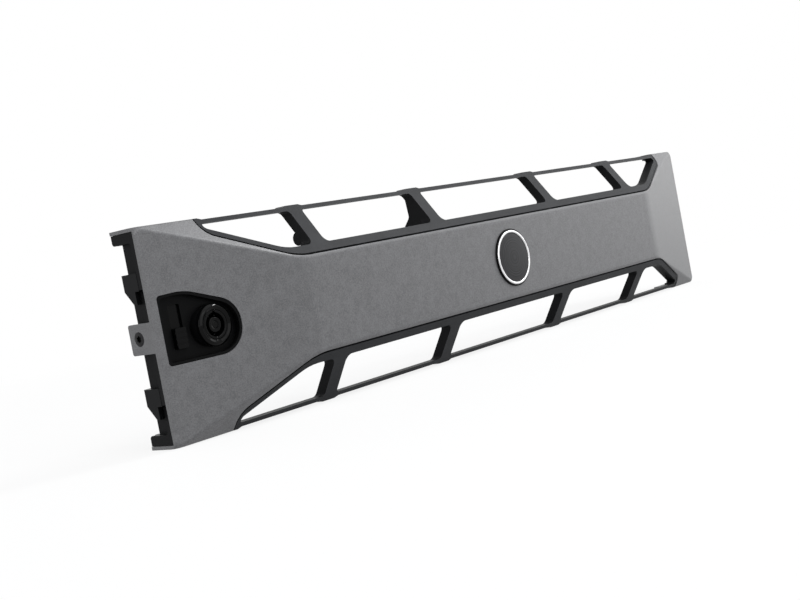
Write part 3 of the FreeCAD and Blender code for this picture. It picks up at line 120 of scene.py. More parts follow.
# Shade of the moulding's black, and the values that moulded_material takes; `sides` is painted
# shade that darkens the side, top and bottom faces
MOULDINGS = {
    "frame_plastic": (2.9, dict(
        roughness=0.45, size=0.0005, depth=0.00004, gloss=0.06, sides=0.22)),
    "recess_plastic": (0.3, dict(
        roughness=0.36, size=0.0004, depth=0.00002, gloss=0.06, sides=1.0)),
    "slider_plastic": (0.2, dict(
        roughness=0.2, size=0.0004, depth=0.00001, gloss=0.1, sides=1.0)),
    "latch_plastic": (0.7, dict(
        roughness=0.36, size=0.0008, depth=0.00002, gloss=0.08, sides=1.0)),
}
# Roughness of the lock's lacquered pieces
LACQUERS = {"lock_case": 0.1, "lock_core": 0.12}
LACQUER_SHADE = 0.3
# Colour, roughness and stretch of the drawn lines
METALS = {
    "plated_steel": ((0.62, 0.61, 0.57), 0.34, (1, 1, 1)),
    "black_screw": ((0.022, 0.022, 0.023), 0.4, (1, 1, 1)),
    "spring_wire": ((0.58, 0.58, 0.58), 0.25, (1, 1, 6)),
    "badge_rim": ((0.72, 0.72, 0.73), 0.22, (1, 1, 1)),
}


def new_material(name, **sockets):
    """Makes a finish with the shader's sockets set; returns its tree and its shader."""
    material = bpy.data.materials.new(f"bezel_{name}")
    FINISHES[name] = material
    material.use_nodes = True
    shader = material.node_tree.nodes["Principled BSDF"]
    for socket, value in sockets.items():
        shader.inputs[socket.replace("_", " ")].default_value = value
    return material.node_tree, shader


def add(tree, kind, **settings):
    """Node of a kind with its properties and input values set."""
    node = tree.nodes.new(kind)
    for name, value in settings.items():
        if name in node.inputs:
            node.inputs[name].default_value = value
        else:
            setattr(node, name, value)
    return node


def object_noise(tree, size, detail=3.0, stretch=(1, 1, 1)):
    """Grey noise on object coordinates with features of a size in metres."""
    where = add(tree, "ShaderNodeTexCoord")
    mapping = add(tree, "ShaderNodeMapping", Scale=stretch)
    noise = add(tree, "ShaderNodeTexNoise", Scale=1 / size, Detail=detail)
    tree.links.new(where.outputs["Object"], mapping.inputs["Vector"])
    tree.links.new(mapping.outputs["Vector"], noise.inputs["Vector"])
    return noise.outputs["Fac"]


def tone(colour, factor):
    return tuple(min(1.0, part * factor) for part in colour)


def toned(tree, source, colour, dark, light, low=NOISE_LOW, high=NOISE_HIGH):
    """Colour between a dark and a light tone of a colour by a grey value."""
    ramp = add(tree, "ShaderNodeValToRGB")
    for stop, position, factor in zip(ramp.color_ramp.elements, (low, high), (dark, light)):
        stop.position = position
        stop.color = (*tone(colour, factor), 1)
    tree.links.new(source, ramp.inputs["Fac"])
    return ramp.outputs["Color"]


def between(tree, source, low, high, start=NOISE_LOW, end=NOISE_HIGH):
    """Number between two numbers by a grey value."""
    span = add(tree, "ShaderNodeMapRange")
    for name, value in (("From Min", start), ("From Max", end), ("To Min", low), ("To Max", high)):
        span.inputs[name].default_value = value
    tree.links.new(source, span.inputs["Value"])
    return span.outputs["Result"]


def roughened(tree, shader, source, low, high):
    """Roughness between two values by a grey value."""
    tree.links.new(between(tree, source, low, high), shader.inputs["Roughness"])


def raised(tree, shader, source, depth, strength):
    """Bump of a depth in metres by a grey value."""
    bump = add(tree, "ShaderNodeBump", Strength=strength, Distance=depth)
    tree.links.new(source, bump.inputs["Height"])
    tree.links.new(bump.outputs["Normal"], shader.inputs["Normal"])


def blended(tree, share, first, second):
    """Shader that goes from a first to a second one by a grey value."""
    blend = add(tree, "ShaderNodeMixShader")
    tree.links.new(share, blend.inputs["Fac"])
    tree.links.new(first.outputs[0], blend.inputs[1])
    tree.links.new(second.outputs[0], blend.inputs[2])
    return blend


def seen_directly(tree):
    """Grey value that is 1 for what the camera, a reflection or clear glass shows."""
    path = add(tree, "ShaderNodeLightPath")
    shown = path.outputs["Is Camera Ray"]
    for name in ("Is Glossy Ray", "Is Transmission Ray"):
        most = add(tree, "ShaderNodeMath", operation="MAXIMUM")
        tree.links.new(shown, most.inputs[0])
        tree.links.new(path.outputs[name], most.inputs[1])
        shown = most.outputs[0]
    return shown


def paint_material(grain, paint):
    """Metallic grey paint: a fine sparkling grain in a faint, broader cloud."""
    tree, shader = new_material(
        "cover_paint", Metallic=0.3, Specular_IOR_Level=0.3, Coat_Weight=0.1,
        Coat_Roughness=0.35)
    flake_share = 0.75
    flakes = object_noise(tree, grain, detail=4.0)
    cloud = object_noise(tree, size=0.004, detail=2.0)
    mixed = add(tree, "ShaderNodeMath", operation="MULTIPLY_ADD")
    mixed.inputs[1].default_value = flake_share
    faint = add(tree, "ShaderNodeMath", operation="MULTIPLY")
    faint.inputs[1].default_value = 1 - flake_share
    tree.links.new(flakes, mixed.inputs[0])
    tree.links.new(cloud, faint.inputs[0])
    tree.links.new(faint.outputs[0], mixed.inputs[2])
    tree.links.new(
        toned(tree, mixed.outputs[0], paint, 0.8, 1.2, low=0.38, high=0.62),
        shader.inputs["Base Color"])
    roughened(tree, shader, cloud, 0.4, 0.46)
    raised(tree, shader, flakes, depth=grain * 0.12, strength=0.35)


def moulded_material(name, colour, roughness, size, depth, gloss, sides):
    """Black moulding with an even spark-eroded texture.

    The colour is scaled by `sides` on faces that look to the side, up or down; this is painted
    shade that makes those faces darker.
    """
    tree, shader = new_material(name, Specular_IOR_Level=gloss)
    side_slope, front_slope = 0.62, 0.78
    grain = object_noise(tree, size)
    cloud = object_noise(tree, size=0.012, detail=2.0)
    where = add(tree, "ShaderNodeTexCoord")
    facing = add(tree, "ShaderNodeSeparateXYZ")
    tree.links.new(where.outputs["Normal"], facing.inputs[0])
    to_front = add(tree, "ShaderNodeMath", operation="ABSOLUTE")
    tree.links.new(facing.outputs["Y"], to_front.inputs[0])
    # Painted shade: the colour is scaled by `sides` on faces that look to the side, up or down
    painted_side_shade = add(tree, "ShaderNodeVectorMath", operation="SCALE")
    tree.links.new(toned(tree, cloud, colour, 0.88, 1.12), painted_side_shade.inputs[0])
    tree.links.new(
        between(tree, to_front.outputs[0], sides, 1.0, side_slope, front_slope),
        painted_side_shade.inputs["Scale"])
    tree.links.new(painted_side_shade.outputs["Vector"], shader.inputs["Base Color"])
    roughened(tree, shader, grain, roughness - 0.04, roughness + 0.05)
    raised(tree, shader, grain, depth, strength=0.5)


def lacquer_material(name, colour, roughness):
    """Gloss black over metal, with faint ripples and handling marks."""
    tree, shader = new_material(
        name, Metallic=0.0, Specular_IOR_Level=0.03, Coat_Weight=0.14, Coat_Roughness=0.06)
    ripple = object_noise(tree, size=0.002)
    tree.links.new(toned(tree, ripple, colour, 0.8, 1.2), shader.inputs["Base Color"])
    roughened(tree, shader, ripple, roughness - 0.03, roughness + 0.05)
    raised(tree, shader, ripple, depth=0.00001, strength=0.3)


def metal_material(name, colour, roughness, stretch):
    """Bare or plated metal with fine drawn lines and a cloudy finish."""
    tree, shader = new_material(name, Metallic=1.0)
    lines = object_noise(tree, size=0.0006, detail=5.0, stretch=stretch)
    cloud = object_noise(tree, size=0.003, detail=2.0)
    tree.links.new(toned(tree, cloud, colour, 0.86, 1.1), shader.inputs["Base Color"])
    roughened(tree, shader, lines, roughness - 0.06, roughness + 0.1)
    raised(tree, shader, lines, depth=0.00001, strength=0.4)


def disc_material(colour, centre):
    """Dark grey badge disc, turned with fine rings round its centre."""
    tree, shader = new_material(
        "badge_face", Metallic=0.2, Specular_IOR_Level=0.1, Coat_Weight=0.04,
        Coat_Roughness=0.25)
    ring_size = 0.0006
    where = add(tree, "ShaderNodeTexCoord")
    away = add(tree, "ShaderNodeVectorMath", operation="SUBTRACT")
    away.inputs[1].default_value = centre
    across = add(tree, "ShaderNodeVectorMath", operation="MULTIPLY")
    across.inputs[1].default_value = (1, 0, 1)
    reach = add(tree, "ShaderNodeVectorMath", operation="LENGTH")
    noise = add(
        tree, "ShaderNodeTexNoise", noise_dimensions="1D", Scale=1 / ring_size, Detail=3.0)
    tree.links.new(where.outputs["Object"], away.inputs[0])
    tree.links.new(away.outputs["Vector"], across.inputs[0])
    tree.links.new(across.outputs["Vector"], reach.inputs[0])
    tree.links.new(reach.outputs["Value"], noise.inputs["W"])
    rings = noise.outputs["Fac"]
    tree.links.new(toned(tree, rings, colour, 0.6, 1.4), shader.inputs["Base Color"])
    roughened(tree, shader, rings, 0.32, 0.4)
    raised(tree, shader, rings, depth=0.00003, strength=0.4)


def dress(thing, material):
    thing.data.materials.clear()
    thing.data.materials.append(material)


# Modelling

def alone(thing):
    """Selects one object and makes it active."""
    bpy.ops.object.select_all(action="DESELECT")
    thing.select_set(True)
    bpy.context.view_layer.objects.active = thing


def settled(thing):
    """Puts an object's place, turn and size into its mesh."""
    alone(thing)
    bpy.ops.object.transform_apply(location=True, rotation=True, scale=True)
    return thing


def apply(thing, kind, **settings):
    """Adds a modifier with its settings and applies it."""
    alone(thing)
    bpy.ops.object.modifier_add(type=kind)
    modifier = thing.modifiers[-1]
    for name, value in settings.items():
        setattr(modifier, name, value)
    bpy.ops.object.modifier_apply(modifier=modifier.name)


def smoothed(thing, angle):
    """Smooth shading that leaves edges sharper than an angle sharp."""
    alone(thing)
    bpy.ops.object.shade_smooth_by_angle(angle=angle)


def rounded(thing, edge, segments=2):
    """Rounds all sharp edges; the large faces between stay flat."""
    apply(thing, "BEVEL", width=edge, segments=segments, limit_method="ANGLE",
          angle_limit=ROUNDED_ANGLE, use_clamp_overlap=True)
    smoothed(thing, ROUNDED_ANGLE)
    apply(thing, "WEIGHTED_NORMAL", mode="FACE_AREA", weight=60, keep_sharp=True)


def closed(thing):
    """Merges doubles and points all faces outwards."""
    alone(thing)
    bpy.ops.object.mode_set(mode="EDIT")
    bpy.ops.mesh.select_all(action="SELECT")
    bpy.ops.mesh.remove_doubles(threshold=MERGE_GAP)
    bpy.ops.mesh.normals_make_consistent(inside=False)
    bpy.ops.object.mode_set(mode="OBJECT")
    return thing


def joined(things):
    """One object from several, with the first one's name."""
    bpy.ops.object.select_all(action="DESELECT")
    for thing in things:
        thing.select_set(True)
    bpy.context.view_layer.objects.active = things[0]
    bpy.ops.object.join()
    return things[0]


def carve(thing, tool):
    """Takes the form of one object out of another."""
    apply(thing, "BOOLEAN", operation="DIFFERENCE", object=tool, solver="EXACT")
    bpy.data.objects.remove(tool)


def moved_copy(thing, shift):
    """Copy of an object with its own mesh, moved."""
    alone(thing)
    bpy.ops.object.duplicate()
    bpy.ops.transform.translate(value=shift)
    return settled(bpy.context.view_layer.objects.active)


def body_of_node(node):
    for body, members in frame["record"]["behaviour"]["bodies"].items():
        if node in members:
            return body
    raise RuntimeError(f"{node} rides on no body")


def stands_for(thing, *nodes):
    """Lets a piece move with its nodes' body, wear their finish and take their place."""
    entry = next(e for e in frame["record"]["subparts"] if e["node"] == nodes[0])
    dress(thing, FINISHES[entry["material_slot"]])
    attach(thing, body_of_node(nodes[0]))
    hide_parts(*nodes)


def finished_copy(node, edge, segments=2):
    """Merged copy of a CAD node with its sharp edges rounded, standing for it."""
    alone(frame["nodes"][node])
    bpy.ops.object.duplicate()
    piece = bpy.context.view_layer.objects.active
    piece.name = f"{node}_finished"
    bpy.ops.object.mode_set(mode="EDIT")
    bpy.ops.mesh.select_all(action="SELECT")
    bpy.ops.mesh.remove_doubles(threshold=MERGE_GAP)
    bpy.ops.mesh.dissolve_limited(angle_limit=FLAT_ANGLE)
    bpy.ops.object.mode_set(mode="OBJECT")
    rounded(piece, edge, segments)
    stands_for(piece, node)


def round_place(node):
    """Point of the axis, front and rear depth and radius of a node turned along Y."""
    low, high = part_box(node)
    centre = Vector(((low.x + high.x) / 2, 0, (low.z + high.z) / 2))
    return centre, low.y, high.y, (high.x - low.x) / 2


def solids_of(node):
    """Boxes of the separate screws in a node, in order from the left.

    A screw is narrower than `screw_width`, and two screws are further apart.
    """
    screw_width = 0.007
    boxes = []
    for vertex in frame["nodes"][node].data.vertices:
        at = vertex.co
        for box in boxes:
            if abs(at.x - box[0].x) < screw_width and abs(at.z - box[0].z) < screw_width:
                box[1] = Vector(map(min, box[1], at))
                box[2] = Vector(map(max, box[2], at))
                break
        else:
            boxes.append([at.copy(), at.copy(), at.copy()])
    return sorted(((box[1], box[2]) for box in boxes), key=lambda box: (box[0].x, box[0].z))


def stepped(radius, depth, steps):
    """Profile points given as distances outwards from a radius and backwards from a depth."""
    return [(radius + out, depth + back) for out, back in steps]


def turned(name, centre, profile, sides, axis="Y", ring=True):
    """Form drawn by one loop of edges that is extruded and resized along a profile.

    The centre is a point of the axis; the profile is (radius, distance along the axis).
    A ring closes on its first loop, any other form gets a cap at both ends.
    """
    along = Vector((0, 1, 0)) if axis == "Y" else Vector((1, 0, 0))
    spin = (QUARTER_TURN, 0, 0) if axis == "Y" else (0, QUARTER_TURN, 0)
    radius, depth = profile[0]
    bpy.ops.object.select_all(action="DESELECT")
    bpy.ops.mesh.primitive_circle_add(
        vertices=sides, radius=radius, fill_type="NOTHING" if ring else "NGON",
        location=Vector(centre) + along * depth, rotation=spin)
    piece = settled(bpy.context.view_layer.objects.active)
    piece.name = name
    bpy.ops.object.mode_set(mode="EDIT")
    bpy.ops.mesh.select_all(action="SELECT")
    for wide, far in profile[1:] + (profile[:1] if ring else []):
        bpy.ops.mesh.extrude_region_move(
            TRANSFORM_OT_translate={"value": along * (far - depth)})
        grow = wide / radius
        bpy.ops.transform.resize(
            value=(grow, 1, grow) if axis == "Y" else (1, grow, grow),
            center_override=Vector(centre) + along * far)
        radius, depth = wide, far
    bpy.ops.object.mode_set(mode="OBJECT")
    return closed(piece)


def star_tool(centre, radius, depth, axis="Y"):
    """Six-lobed cutter for a driver socket."""
    sides, lobes, waist = 24, 6, 0.72
    tool = turned(
        "star_tool", centre, [(radius, -depth), (radius, depth)], sides, axis, ring=False)
    bpy.ops.object.mode_set(mode="EDIT")
    bpy.ops.mesh.select_all(action="DESELECT")
    bpy.ops.object.mode_set(mode="OBJECT")
    for vertex in tool.data.vertices:
        away = vertex.co - Vector(centre)
        side = math.atan2(away.z, away.x if axis == "Y" else away.y)
        vertex.select = round(side / (math.tau / sides)) % (sides // lobes) == 0
    alone(tool)
    bpy.ops.object.mode_set(mode="EDIT")
    bpy.ops.transform.resize(
        value=(waist, 1, waist) if axis == "Y" else (1, waist, waist), center_override=centre)
    bpy.ops.object.mode_set(mode="OBJECT")
    return tool


# Pieces

class BEZEL_OT_materials(bpy.types.Operator):
    """Makes the finishes and gives every piece its own"""

    bl_idname = "bezel.materials"
    bl_label = "Finishes"

    def execute(self, context):
        colours = context.scene.bezel_colours
        paint_material(context.scene.bezel_sizes.grain, colours.paint[:])
        for name, (shade, look) in MOULDINGS.items():
            moulded_material(name, tone(colours.moulding[:], shade), **look)
        for name, roughness in LACQUERS.items():
            lacquer_material(name, tone(colours.lock[:], LACQUER_SHADE), roughness)
        for name, look in METALS.items():
            metal_material(name, *look)
        disc_material(colours.disc[:], round_place("badge_disc")[0])
        for entry in frame["record"]["subparts"]:
            dress(frame["nodes"][entry["node"]], FINISHES[entry["material_slot"]])
        return {"FINISHED"}


class BEZEL_OT_cover(bpy.types.Operator):
    """Finishes the painted cover and the black moulding behind it"""

    bl_idname = "bezel.cover"
    bl_label = "Cover and inner frame"

    def execute(self, context):
        sizes = context.scene.bezel_sizes
        finished_copy("front_cover", sizes.paint_edge)
        finished_copy("inner_frame", sizes.mould_edge)
        return {"FINISHED"}


class BEZEL_OT_latch(bpy.types.Operator):
    """Finishes the recess, the thumb slider and the latch behind it"""

    bl_idname = "bezel.latch"
    bl_label = "Recess, slider and latch"

    def execute(self, context):
        edge = context.scene.bezel_sizes.mould_edge
        finished_copy("lock_escutcheon", edge * 0.7)
        finished_copy("release_slider", edge * 1.5, segments=3)
        for node in ("latch_bar", "latch_retainer_upper", "latch_retainer_lower"):
            finished_copy(node, edge)
        return {"FINISHED"}


class BEZEL_OT_spring(bpy.types.Operator):
    """Winds the latch spring with close end coils"""

    bl_idname = "bezel.spring"
    bl_label = "Latch spring"

    def execute(self, context):
        wire = context.scene.bezel_sizes.spring_wire
        open_turns = 4
        low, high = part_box("latch_spring")
        x, y = (low.x + high.x) / 2, (low.y + high.y) / 2
        radius = (high.x - low.x) / 2 - wire
        close = wire * 2.05
        middle = high.z - low.z - 2 * wire - 2 * close
        coils = []
        start = low.z + wire
        for rise, turns in ((close, 1), (middle, open_turns), (close, 1)):
            coils.append(self.add_coil(Vector((x, y, start)), radius, wire, rise, turns))
            start += rise
        bpy.context.scene.cursor.location = (0, 0, 0)
        spring = settled(closed(joined(coils)))
        alone(spring)
        bpy.ops.object.mode_set(mode="EDIT")
        bpy.ops.mesh.select_all(action="DESELECT")
        bpy.ops.mesh.select_non_manifold()
        bpy.ops.mesh.edge_face_add()
        bpy.ops.object.mode_set(mode="OBJECT")
        closed(spring).name = "latch_spring_coil"
        smoothed(spring, math.radians(40))
        stands_for(spring, "latch_spring")
        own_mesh(spring)
        return {"FINISHED"}

    def add_coil(self, foot, radius, wire, rise, turns):
        """Wire wound upwards from a point of the spring's axis."""
        sides, steps = 12, 32 * turns
        bpy.ops.object.select_all(action="DESELECT")
        bpy.ops.mesh.primitive_circle_add(
            vertices=sides, radius=wire, fill_type="NOTHING",
            location=foot + Vector((radius, 0, 0)), rotation=(QUARTER_TURN, 0, 0))
        coil = settled(bpy.context.view_layer.objects.active)
        bpy.context.scene.cursor.location = foot
        bpy.ops.object.origin_set(type="ORIGIN_CURSOR")
        apply(coil, "SCREW", axis="Z", angle=math.tau * turns, screw_offset=rise,
              steps=steps, render_steps=steps, use_smooth_shade=True)
        return settled(coil)


class BEZEL_OT_lock(bpy.types.Operator):
    """Models the round key lock, its plug with the ring-shaped keyway and its nut"""

    bl_idname = "bezel.lock"
    bl_label = "Key lock"

    def execute(self, context):
        running_gap = 0.00008
        centre, front, rear, flange = round_place("lock_housing")
        plug_front, _, plug_radius = round_place("lock_plug")[1:]
        post_radius = round_place("lock_pin")[3]
        self.add_housing(centre, front, rear, flange, plug_radius + running_gap)
        self.add_plug(centre, plug_front, plug_radius, post_radius)
        self.add_post(centre, post_radius)
        for node in ("lock_washer", "lock_nut", "lock_cam"):
            finished_copy(node, context.scene.bezel_sizes.metal_edge)
        return {"FINISHED"}

    def add_housing(self, centre, front, rear, flange, bore):
        """Flange with a rounded rim and a sunk inner step, on a barrel."""
        sunk, sunk_width, slope_width = 0.0005, 0.0003, 0.00087
        tail_edge = 0.0004
        seat = front + 0.0023
        barrel = flange - 0.0015
        step = bore + sunk_width
        rim = stepped(flange, front, [
            (-0.0012, 0), (-0.0005, 0.0004), (-0.00015, 0.00075), (0, 0.0013)])
        housing = turned("lock_case_turned", centre, [
            (bore, front + 0.0006), (bore + 0.0001, front + sunk), (step, front + sunk),
            (step + slope_width, front), *rim, (flange, seat), (barrel, seat),
            (barrel, rear - tail_edge), (barrel - tail_edge, rear), (bore, rear)], sides=96)
        rounded(housing, 0.00008)
        stands_for(housing, "lock_housing")

    def add_plug(self, centre, front, radius, post):
        """Plug with a ring-shaped keyway, an index notch and the lock's sprung pins."""
        outer, inner, floor = 0.0047, 0.0031, front + 0.0045
        edge, rim_edge = 0.0003, 0.0002
        hole = post + 0.00005
        neck = radius * 0.6
        cam_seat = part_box("lock_cam")[0].y
        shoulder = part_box("lock_housing")[1].y - 0.0004
        plug = turned("lock_plug_turned", centre, [
            (hole, front + 0.0004), (inner - edge, front + edge), (inner, front + 2 * edge),
            (inner, floor), (outer, floor), (outer, front + edge), (outer + edge, front),
            (radius - rim_edge, front), (radius, front + rim_edge), (radius, shoulder),
            (neck, shoulder), (neck, cam_seat), (hole, cam_seat)], sides=96)
        bpy.ops.object.select_all(action="DESELECT")
        bpy.ops.mesh.primitive_cube_add(
            size=1, location=centre + Vector((0, front + 0.001, outer + 0.0002)),
            scale=(0.0011, 0.004, 0.0016))
        carve(plug, settled(bpy.context.view_layer.objects.active))
        pins = self.add_pins(centre, front, (inner + outer) / 2, floor)
        rounded(plug, 0.00006)
        for pin in pins:
            smoothed(pin, math.radians(40))
        stands_for(joined([plug, *pins]), "lock_plug")

    def add_pins(self, centre, front, reach, floor):
        """Ring of small pins that stand on the keyway's floor."""
        count, radius, into_floor = 7, 0.0005, 0.0001
        pins = []
        for number in range(count):
            turn = math.tau * (number + 0.5) / count
            place = centre + Vector((math.sin(turn), 0, math.cos(turn))) * reach
            pins.append(turned("lock_plug_pin", place, [
                (0.0002, front + 0.0018), (0.0004, front + 0.0019), (radius, front + 0.0021),
                (radius, floor + into_floor)], sides=16, ring=False))
        return pins

    def add_post(self, centre, radius):
        """Post in the middle of the keyway."""
        low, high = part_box("lock_pin")
        post = turned("lock_post_turned", centre, [
            (radius * 0.4, low.y + 0.00015), (radius * 0.8, low.y), (radius, low.y + 0.0003),
            (radius, high.y)], sides=48, ring=False)
        rounded(post, 0.00005)
        stands_for(post, "lock_pin")


class BEZEL_OT_screws(bpy.types.Operator):
    """Models the screws with their driver sockets and threads"""

    bl_idname = "bezel.screws"
    bl_label = "Screws"

    def execute(self, context):
        pitch = context.scene.bezel_sizes.thread_pitch
        for node in ("cover_screws", "retainer_screws", "slider_screw", "cam_screw"):
            boxes = solids_of(node)
            first = self.add_pan_screw(node, *boxes[0], pitch)
            middle = (boxes[0][0] + boxes[0][1]) / 2
            copies = [moved_copy(first, (low + high) / 2 - middle) for low, high in boxes[1:]]
            stands_for(joined([first, *copies]), node)
        self.add_countersunk_screw()
        return {"FINISHED"}

    def add_pan_screw(self, node, low, high, pitch):
        """Screw that points forwards: low and high are the corners of its box."""
        head_height, point_length, socket_depth = 0.0016, 0.0006, 0.0009
        # Share of the head's radius and distance below its top
        dome = ((0.55, 0), (0.82, 0.0002), (0.96, 0.0006), (1, 0.0011))
        centre = Vector(((low.x + high.x) / 2, 0, (low.z + high.z) / 2))
        wide = (high.x - low.x) / 2
        crest = wide / 1.8
        core = crest * 0.82
        rear, tip = high.y, low.y
        seat = rear - head_height
        # Radius and distance from a ridge in pitches
        thread = ((core, 0.2), (crest, -0.2), (crest, -0.3), (core, -0.7))
        profile = [(wide * share, rear - down) for share, down in dome]
        profile += [(wide, seat), (core, seat)]
        ridge = seat - pitch
        while ridge - pitch > tip + point_length:
            profile += [(radius, ridge + pitch * along) for radius, along in thread]
            ridge -= pitch
        profile += [(core, tip + point_length), (core * 0.5, tip)]
        screw = turned(f"{node}_turned", centre, profile, sides=32, ring=False)
        carve(screw, star_tool(centre + Vector((0, rear, 0)), wide * 0.5, socket_depth))
        smoothed(screw, math.radians(30))
        return screw

    def add_countersunk_screw(self):
        """Flat-headed screw in the end tab, facing left."""
        shank, point, socket_depth = 0.0014, 0.001, 0.001
        low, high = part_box("tab_screw")
        wide = (high.y - low.y) / 2
        centre = Vector((0, (low.y + high.y) / 2, (low.z + high.z) / 2))
        screw = turned("tab_screw_turned", centre, [
            (wide * 0.9, low.x), (wide, low.x + 0.0001), (wide, low.x + 0.0003),
            (shank, low.x + 0.0018), (shank, high.x - 0.0003), (point, high.x)],
            sides=48, axis="X", ring=False)
        head = centre + Vector((low.x, 0, 0))
        carve(screw, star_tool(head, wide * 0.48, socket_depth, "X"))
        smoothed(screw, math.radians(30))
        stands_for(screw, "tab_screw")


class BEZEL_OT_badge(bpy.types.Operator):
    """Models the bare badge disc, its bright ring and the nut behind the cover"""

    bl_idname = "bezel.badge"
    bl_label = "Badge"

    def execute(self, context):
        centre, front, rear, radius = round_place("badge_disc")
        top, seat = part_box("badge_ring")[0].y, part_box("badge_ring")[1].y
        outer, inner = radius - 0.00075, radius - 0.00205
        self.add_ring(centre, top, seat, outer, inner)
        self.add_base(centre, top, seat, rear, outer, radius)
        self.add_disc(centre, front, seat, inner)
        finished_copy("badge_push_nut", context.scene.bezel_sizes.metal_edge * 0.7)
        return {"FINISHED"}

    def add_ring(self, centre, top, seat, outer, inner):
        """Bright ring with a softly turned front."""
        ring = turned("badge_ring_turned", centre, [
            (inner, seat),
            *stepped(inner, top, [(0, 0.0004), (0.0002, 0.0001), (0.0005, 0)]),
            *stepped(outer, top, [(-0.0004, 0), (-0.0001, 0.0002), (0, 0.0005)]),
            (outer, seat)], sides=128)
        smoothed(ring, math.radians(50))
        stands_for(ring, "badge_ring")

    def add_base(self, centre, top, seat, rear, outer, radius):
        """Black base with a raised rim round the ring and a stud to the rear."""
        gap, thickness, stud, stud_edge = 0.00005, 0.0009, 0.002, 0.0003
        base = turned("badge_base_turned", centre, [
            (stud, seat - gap), (outer + gap, seat - gap), (outer + gap, top + 0.0006),
            (outer + 0.0003, top + 0.0004),
            *stepped(radius, top, [(-0.0002, 0.0005), (0, 0.0008)]),
            (radius, seat + thickness), (stud, seat + thickness), (stud, rear - stud_edge),
            (stud - stud_edge, rear)], sides=128, ring=False)
        rounded(base, 0.00005)
        stands_for(base, "badge_disc")
        dress(base, FINISHES["recess_plastic"])

    def add_disc(self, centre, front, seat, inner):
        """Slightly crowned dark disc inside the ring."""
        edge = inner - 0.00005
        disc = turned("badge_face_turned", centre, [
            (0.0005, front), (inner * 0.5, front + 0.00008), (inner * 0.85, front + 0.0002),
            (inner - 0.0004, front + 0.0003), (edge, front + 0.0006), (edge, seat - 0.00008)],
            sides=128, ring=False)
        smoothed(disc, math.radians(25))
        stands_for(disc, "badge_disc")


# Studio

WHITE = (1, 1, 1, 1)
# Name, place, point aimed at, width and height, watts
LAMPS = (
    ("lamp_above", (0.1, -0.8, 1.2), (0, 0, 0.05), (1.2, 1.2), 5.2),
    ("lamp_right", (1.55, -0.55, 0.35), (0, 0, 0.05), (1.2, 1.2), 7.2),
    ("lamp_front", (-0.5, -1.5, 0.7), (0, 0, 0.05), (1.2, 1.2), 6.8),
    ("lamp_behind", (0.3, 1.5, 0.8), (0, 0, 0.05), (1.2, 1.2), 6.0),
    ("lamp_left", (-1.5, 0.1, 0.5), (-0.2, 0, 0.05), (0.8, 0.8), 5.5),
    ("lamp_glint", (0.58, -0.4, 0.73), (-0.19, 0, 0.045), (0.26, 0.08), 3.2),
)
# The camera as it was fitted to the photo's corners
CAMERA_PLACE = (-0.51271, -0.3886, 0.06282)
CAMERA_FORWARD = (0.76637, 0.64128, -0.03791)
CAMERA_RIGHT = (0.62506, -0.75801, -0.18633)
CAMERA_LENS = {
    "sensor_fit": "HORIZONTAL", "sensor_width": 36, "lens": 55.3275, "shift_x": -0.0105,
    "shift_y": -0.0194, "clip_start": 0.01,
}


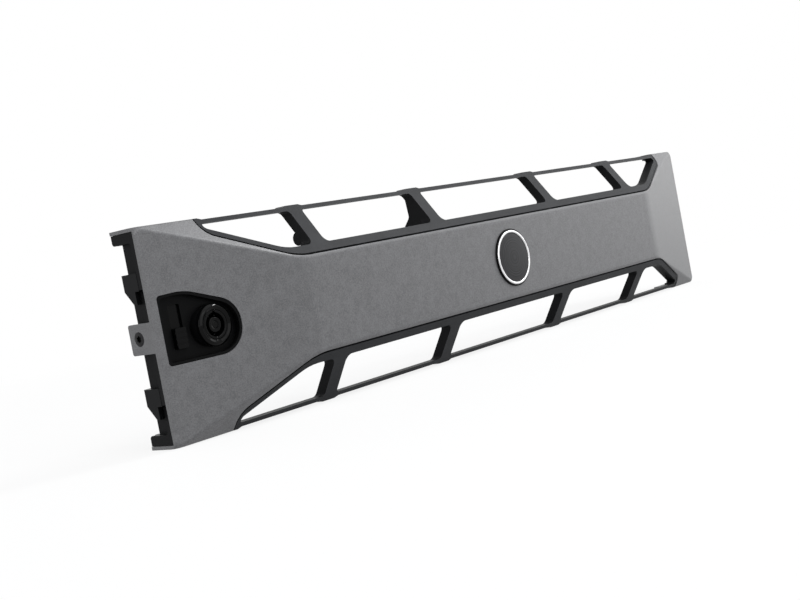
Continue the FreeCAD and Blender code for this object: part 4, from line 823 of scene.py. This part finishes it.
class BEZEL_OT_stage(bpy.types.Operator):
    """Adds the pale floor, the soft lights, the surroundings and the camera"""

    bl_idname = "bezel.stage"
    bl_label = "Studio"

    def execute(self, context):
        self.add_floor(context.scene.bezel_colours.floor[:])
        self.add_surroundings(context.scene)
        self.add_lamps()
        self.add_camera(context.scene)
        context.scene.view_settings.view_transform = "Standard"
        return {"FINISHED"}

    def add_floor(self, colour):
        """Floor that the camera sees nearly white, with a faint shadow by the object."""
        width, drop = 12, 0.0002
        near, far, near_glow = 0.28, 0.7, 0.84
        bpy.ops.object.select_all(action="DESELECT")
        bpy.ops.mesh.primitive_plane_add(size=width, location=(0, 0, -drop))
        floor = bpy.context.view_layer.objects.active
        floor.name = "studio_floor"
        material = bpy.data.materials.new("studio_floor")
        material.use_nodes = True
        tree = material.node_tree
        shader = tree.nodes["Principled BSDF"]
        shader.inputs["Roughness"].default_value = 0.9
        shader.inputs["Specular IOR Level"].default_value = 0.1
        cloud = object_noise(tree, size=0.4, detail=2.0)
        tree.links.new(toned(tree, cloud, colour, 0.985, 1.0), shader.inputs["Base Color"])
        pale = add(tree, "ShaderNodeBsdfDiffuse", Color=WHITE)
        glow = add(tree, "ShaderNodeEmission", Strength=1.0)
        where = add(tree, "ShaderNodeTexCoord")
        away = add(tree, "ShaderNodeVectorMath", operation="LENGTH")
        tree.links.new(where.outputs["Object"], away.inputs[0])
        share = between(tree, away.outputs["Value"], near_glow, 1.0, near, far)
        shown = blended(tree, share, pale, glow)
        surface = blended(tree, seen_directly(tree), shader, shown)
        tree.links.new(surface.outputs[0], tree.nodes["Material Output"].inputs["Surface"])
        dress(floor, material)

    def add_surroundings(self, scene):
        """White for the camera and reflections, a dimmer cool white as light."""
        world = bpy.data.worlds.new("studio")
        scene.world = world
        world.use_nodes = True
        tree = world.node_tree
        soft = tree.nodes["Background"]
        soft.inputs["Color"].default_value = (0.95, 0.97, 1.0, 1)
        soft.inputs["Strength"].default_value = 0.4
        white = add(tree, "ShaderNodeBackground", Color=WHITE, Strength=1.0)
        surroundings = blended(tree, seen_directly(tree), soft, white)
        tree.links.new(surroundings.outputs[0], tree.nodes["World Output"].inputs["Surface"])

    def add_lamps(self):
        for name, place, aim, size, watts in LAMPS:
            bpy.ops.object.select_all(action="DESELECT")
            bpy.ops.object.light_add(type="AREA", location=place)
            lamp = bpy.context.view_layer.objects.active
            lamp.name = name
            lamp.data.shape = "RECTANGLE"
            lamp.data.size, lamp.data.size_y = size
            lamp.data.energy = watts
            lamp.rotation_euler = (Vector(aim) - Vector(place)).to_track_quat("-Z", "Y").to_euler()

    def add_camera(self, scene):
        forward = Vector(CAMERA_FORWARD).normalized()
        right = Vector(CAMERA_RIGHT)
        right = (right - forward * right.dot(forward)).normalized()
        turn = Matrix((right, right.cross(forward), -forward)).transposed()
        data = bpy.data.cameras.new("photo_camera")
        camera = bpy.data.objects.new("photo_camera", data)
        scene.collection.objects.link(camera)
        camera.matrix_world = Matrix.Translation(CAMERA_PLACE) @ turn.to_4x4()
        for name, value in CAMERA_LENS.items():
            setattr(data, name, value)
        scene.camera = camera


class BEZEL_PT_panel(bpy.types.Panel):
    """Sizes, colours and steps of the bezel"""

    bl_label = "Server front bezel"
    bl_idname = "BEZEL_PT_panel"
    bl_space_type = "VIEW_3D"
    bl_region_type = "UI"
    bl_category = "Bezel"

    def draw(self, context):
        for group in (context.scene.bezel_sizes, context.scene.bezel_colours):
            box = self.layout.box()
            for name in group.__annotations__:
                box.prop(group, name)
        for step in STEPS:
            self.layout.operator(step.bl_idname)


STEPS = (
    BEZEL_OT_materials,
    BEZEL_OT_cover,
    BEZEL_OT_latch,
    BEZEL_OT_spring,
    BEZEL_OT_lock,
    BEZEL_OT_screws,
    BEZEL_OT_badge,
    BEZEL_OT_stage,
)
CLASSES = (BezelSizes, BezelColours, *STEPS, BEZEL_PT_panel)


def register():
    for entry in CLASSES:
        bpy.utils.register_class(entry)
    bpy.types.Scene.bezel_sizes = bpy.props.PointerProperty(type=BezelSizes)
    bpy.types.Scene.bezel_colours = bpy.props.PointerProperty(type=BezelColours)


def unregister():
    del bpy.types.Scene.bezel_colours
    del bpy.types.Scene.bezel_sizes
    for entry in reversed(CLASSES):
        bpy.utils.unregister_class(entry)


def main():
    register()
    for step in STEPS:
        group, name = step.bl_idname.split(".")
        getattr(getattr(bpy.ops, group), name)()


if __name__ == "__main__":
    main()
